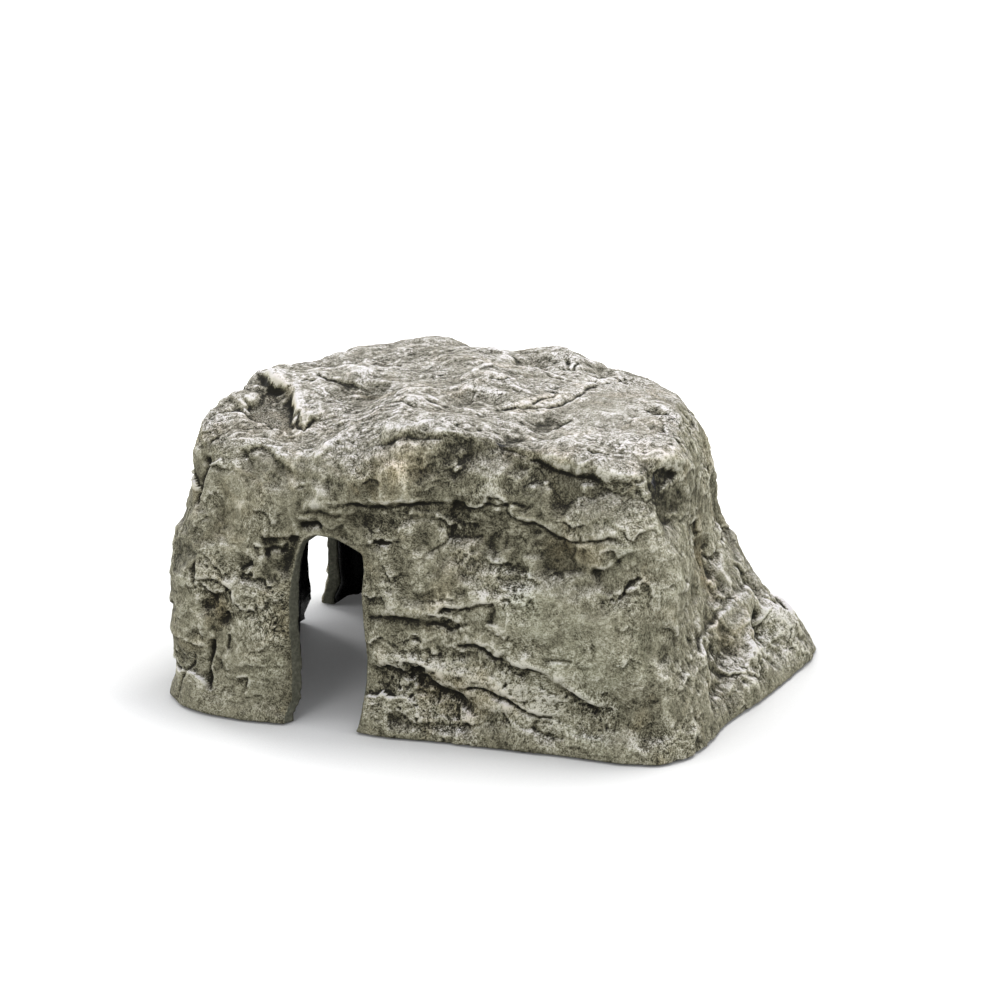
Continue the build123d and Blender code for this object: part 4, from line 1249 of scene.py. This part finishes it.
def black_backing():
    """The lining, with lumps on its inner face only."""
    cad_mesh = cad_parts["backing_laminate"].data
    lining = link(bpy.data.objects.new("black_backing", cad_mesh.copy()))
    me = lining.data
    me.materials.clear()
    bm = bmesh.new()
    bm.from_mesh(me)
    bmesh.ops.remove_doubles(bm, verts=bm.verts[:], dist=1e-6)
    refine(bm, longest=4.2 * MM, rounds=8)
    bm.to_mesh(me)
    bm.free()

    points, edges, tris = read_mesh(me)
    spread = spreader(edges, len(points))
    depth = depth_below_face(points)
    near_outside = spread(np.where(depth > 8.0, 0.0, 1.0), 3)
    inner = smooth_step(depth, 7.2, 8.0) * np.clip(1 - 1.6 * near_outside, 0, 1)
    lumps = (
        0.9 * ridged(points, 24, octaves=3, seed=71)
        + 0.8 * smooth_step(noise(points, 9, 72), 0.0, 0.6)
        + 0.35 * noise(points, 5, 73)
    )
    lift = inner * np.clip(lumps, 0, 2.2)
    write_points(me, points + normals_of(points, tris) * lift[:, None])
    shade_smooth(me)
    me.materials.append(black_material())
    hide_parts("backing_laminate")
    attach(lining, "root")


# ---------------------------------------------------------------- the pads under the rim
# shares of the radius and of the thickness, from the lower centre round to the upper centre
PAD_PROFILE = [
    (0.0, 0.0), (0.55, 0.0), (0.84, 0.0), (0.93, 0.06), (0.985, 0.18), (1.0, 0.40),
    (0.995, 0.62), (0.97, 0.84), (0.92, 1.0), (0.5, 1.0), (0.0, 1.0),
]
PAD_SEGMENTS = 48


def pad_disc(name, low, high, material):
    """A soft disc: a little crowned at the side, eased at its lower edge."""
    centre_x, centre_y = (low[0] + high[0]) / 2, (low[1] + high[1]) / 2
    radius, thickness = (high[0] - low[0]) / 2, high[2] - low[2]
    bm = bmesh.new()
    rings = []
    for share, rise in PAD_PROFILE:
        ring = []
        for k in range(PAD_SEGMENTS if share else 1):
            angle = 2 * math.pi * k / PAD_SEGMENTS
            x = centre_x + share * radius * math.cos(angle)
            y = centre_y + share * radius * math.sin(angle)
            ring.append(bm.verts.new((x, y, low[2] + rise * thickness)))
        rings.append(ring)
    for a, b in zip(rings, rings[1:]):
        for k in range(PAD_SEGMENTS):
            j = (k + 1) % PAD_SEGMENTS
            if len(a) == 1:
                bm.faces.new((a[0], b[j], b[k]))
            elif len(b) == 1:
                bm.faces.new((a[k], a[j], b[0]))
            else:
                bm.faces.new((a[k], a[j], b[j], b[k]))
    bmesh.ops.recalc_face_normals(bm, faces=bm.faces[:])
    me = bpy.data.meshes.new(name)
    bm.to_mesh(me)
    bm.free()
    shade_smooth(me)
    me.materials.append(material)
    return link(bpy.data.objects.new(name, me))


def pads():
    material = pad_material()
    for node in [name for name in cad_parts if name.startswith("pad_")]:
        low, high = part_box(node)
        piece = pad_disc("soft_" + node, low, high, material)
        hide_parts(node)
        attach(piece, "root")


# ---------------------------------------------------------------- floor, light and camera (metres)
def studio_floor(half=6):
    me = bpy.data.meshes.new("studio_floor")
    corners = [(-half, -half, 0), (half, -half, 0), (half, half, 0), (-half, half, 0)]
    me.from_pydata(corners, [], [(0, 1, 2, 3)])
    floor = link(bpy.data.objects.new("studio_floor", me))
    me.materials.append(floor_material())


def studio_world():
    """White to the camera; to the rock, a sky that brightens upwards."""
    world = bpy.data.worlds.new("studio")
    bpy.context.scene.world = world
    w = Nodes(world, "ShaderNodeOutputWorld")
    direction = w.add("ShaderNodeTexCoord").outputs["Generated"]
    height = w.add("ShaderNodeSeparateXYZ", {0: direction}).outputs["Z"]
    sky_strength = w.remap(height, low=0.05, high=0.85, to_low=0.14, to_high=1.25)
    sky = {"Color": (0.97, 0.98, 1.0, 1), "Strength": sky_strength}
    backdrop = {"Color": (1, 1, 1, 1), "Strength": 1.15}
    choice = w.add("ShaderNodeMixShader", {
        0: w.add("ShaderNodeLightPath").outputs["Is Camera Ray"],
        1: w.add("ShaderNodeBackground", sky).outputs[0],
        2: w.add("ShaderNodeBackground", backdrop).outputs[0],
    })
    w.put(w.out.inputs[0], choice.outputs[0])


def lamp(name, place, target, size, watts, colour=(1, 1, 1)):
    data = bpy.data.lights.new(name, "AREA")
    data.shape = "DISK"
    data.size = size
    data.energy = watts
    data.color = colour
    ob = link(bpy.data.objects.new(name, data))
    ob.location = place
    toward = Vector(target) - Vector(place)
    ob.rotation_euler = toward.to_track_quat("-Z", "Y").to_euler()


def lights():
    middle = (0, 0, 0.06)
    low_left = (-0.05, 0, 0.02)
    lamp("key", place=(0.28, 0.36, 1.40), target=middle, size=0.55, watts=9.6,
         colour=(1.0, 0.99, 0.97))
    lamp("right_fill", place=(1.5, -0.10, 0.75), target=middle, size=0.6, watts=7.2)
    lamp("left_fill", place=(-1.5, -0.7, 0.9), target=middle, size=0.9, watts=2.5)
    lamp("door_fill", place=(-0.30, -1.5, 0.75), target=low_left, size=0.7, watts=6.4)
    lamp("rear_fill", place=(-1.3, 0.75, 0.40), target=low_left, size=0.6, watts=13.0)


CAMERA_TURN = math.radians(18.0)  # from straight in front, towards the right
CAMERA_RISE = math.radians(17.5)  # above level
CAMERA_AIM = Vector((-0.086014, 0.273495, 0.0))
CAMERA_DISTANCE = 2.2113


def camera():
    data = bpy.data.cameras.new("camera")
    data.lens = 140.4
    data.sensor_width = 36
    ob = link(bpy.data.objects.new("camera", data))
    level = math.cos(CAMERA_RISE)
    back = Vector((
        math.sin(CAMERA_TURN) * level, -math.cos(CAMERA_TURN) * level, math.sin(CAMERA_RISE)
    ))
    side = Vector((math.cos(CAMERA_TURN), math.sin(CAMERA_TURN), 0))
    turn = Matrix((side, back.cross(side), back)).transposed().to_4x4()
    ob.matrix_world = Matrix.Translation(CAMERA_AIM + back * CAMERA_DISTANCE) @ turn
    bpy.context.scene.camera = ob


stone_skin()
black_backing()
pads()
studio_floor()
studio_world()
lights()
camera()

view = bpy.context.scene.view_settings
view.view_transform = "Standard"
view.look = "None"
view.exposure = 0.0
view.gamma = 1.0
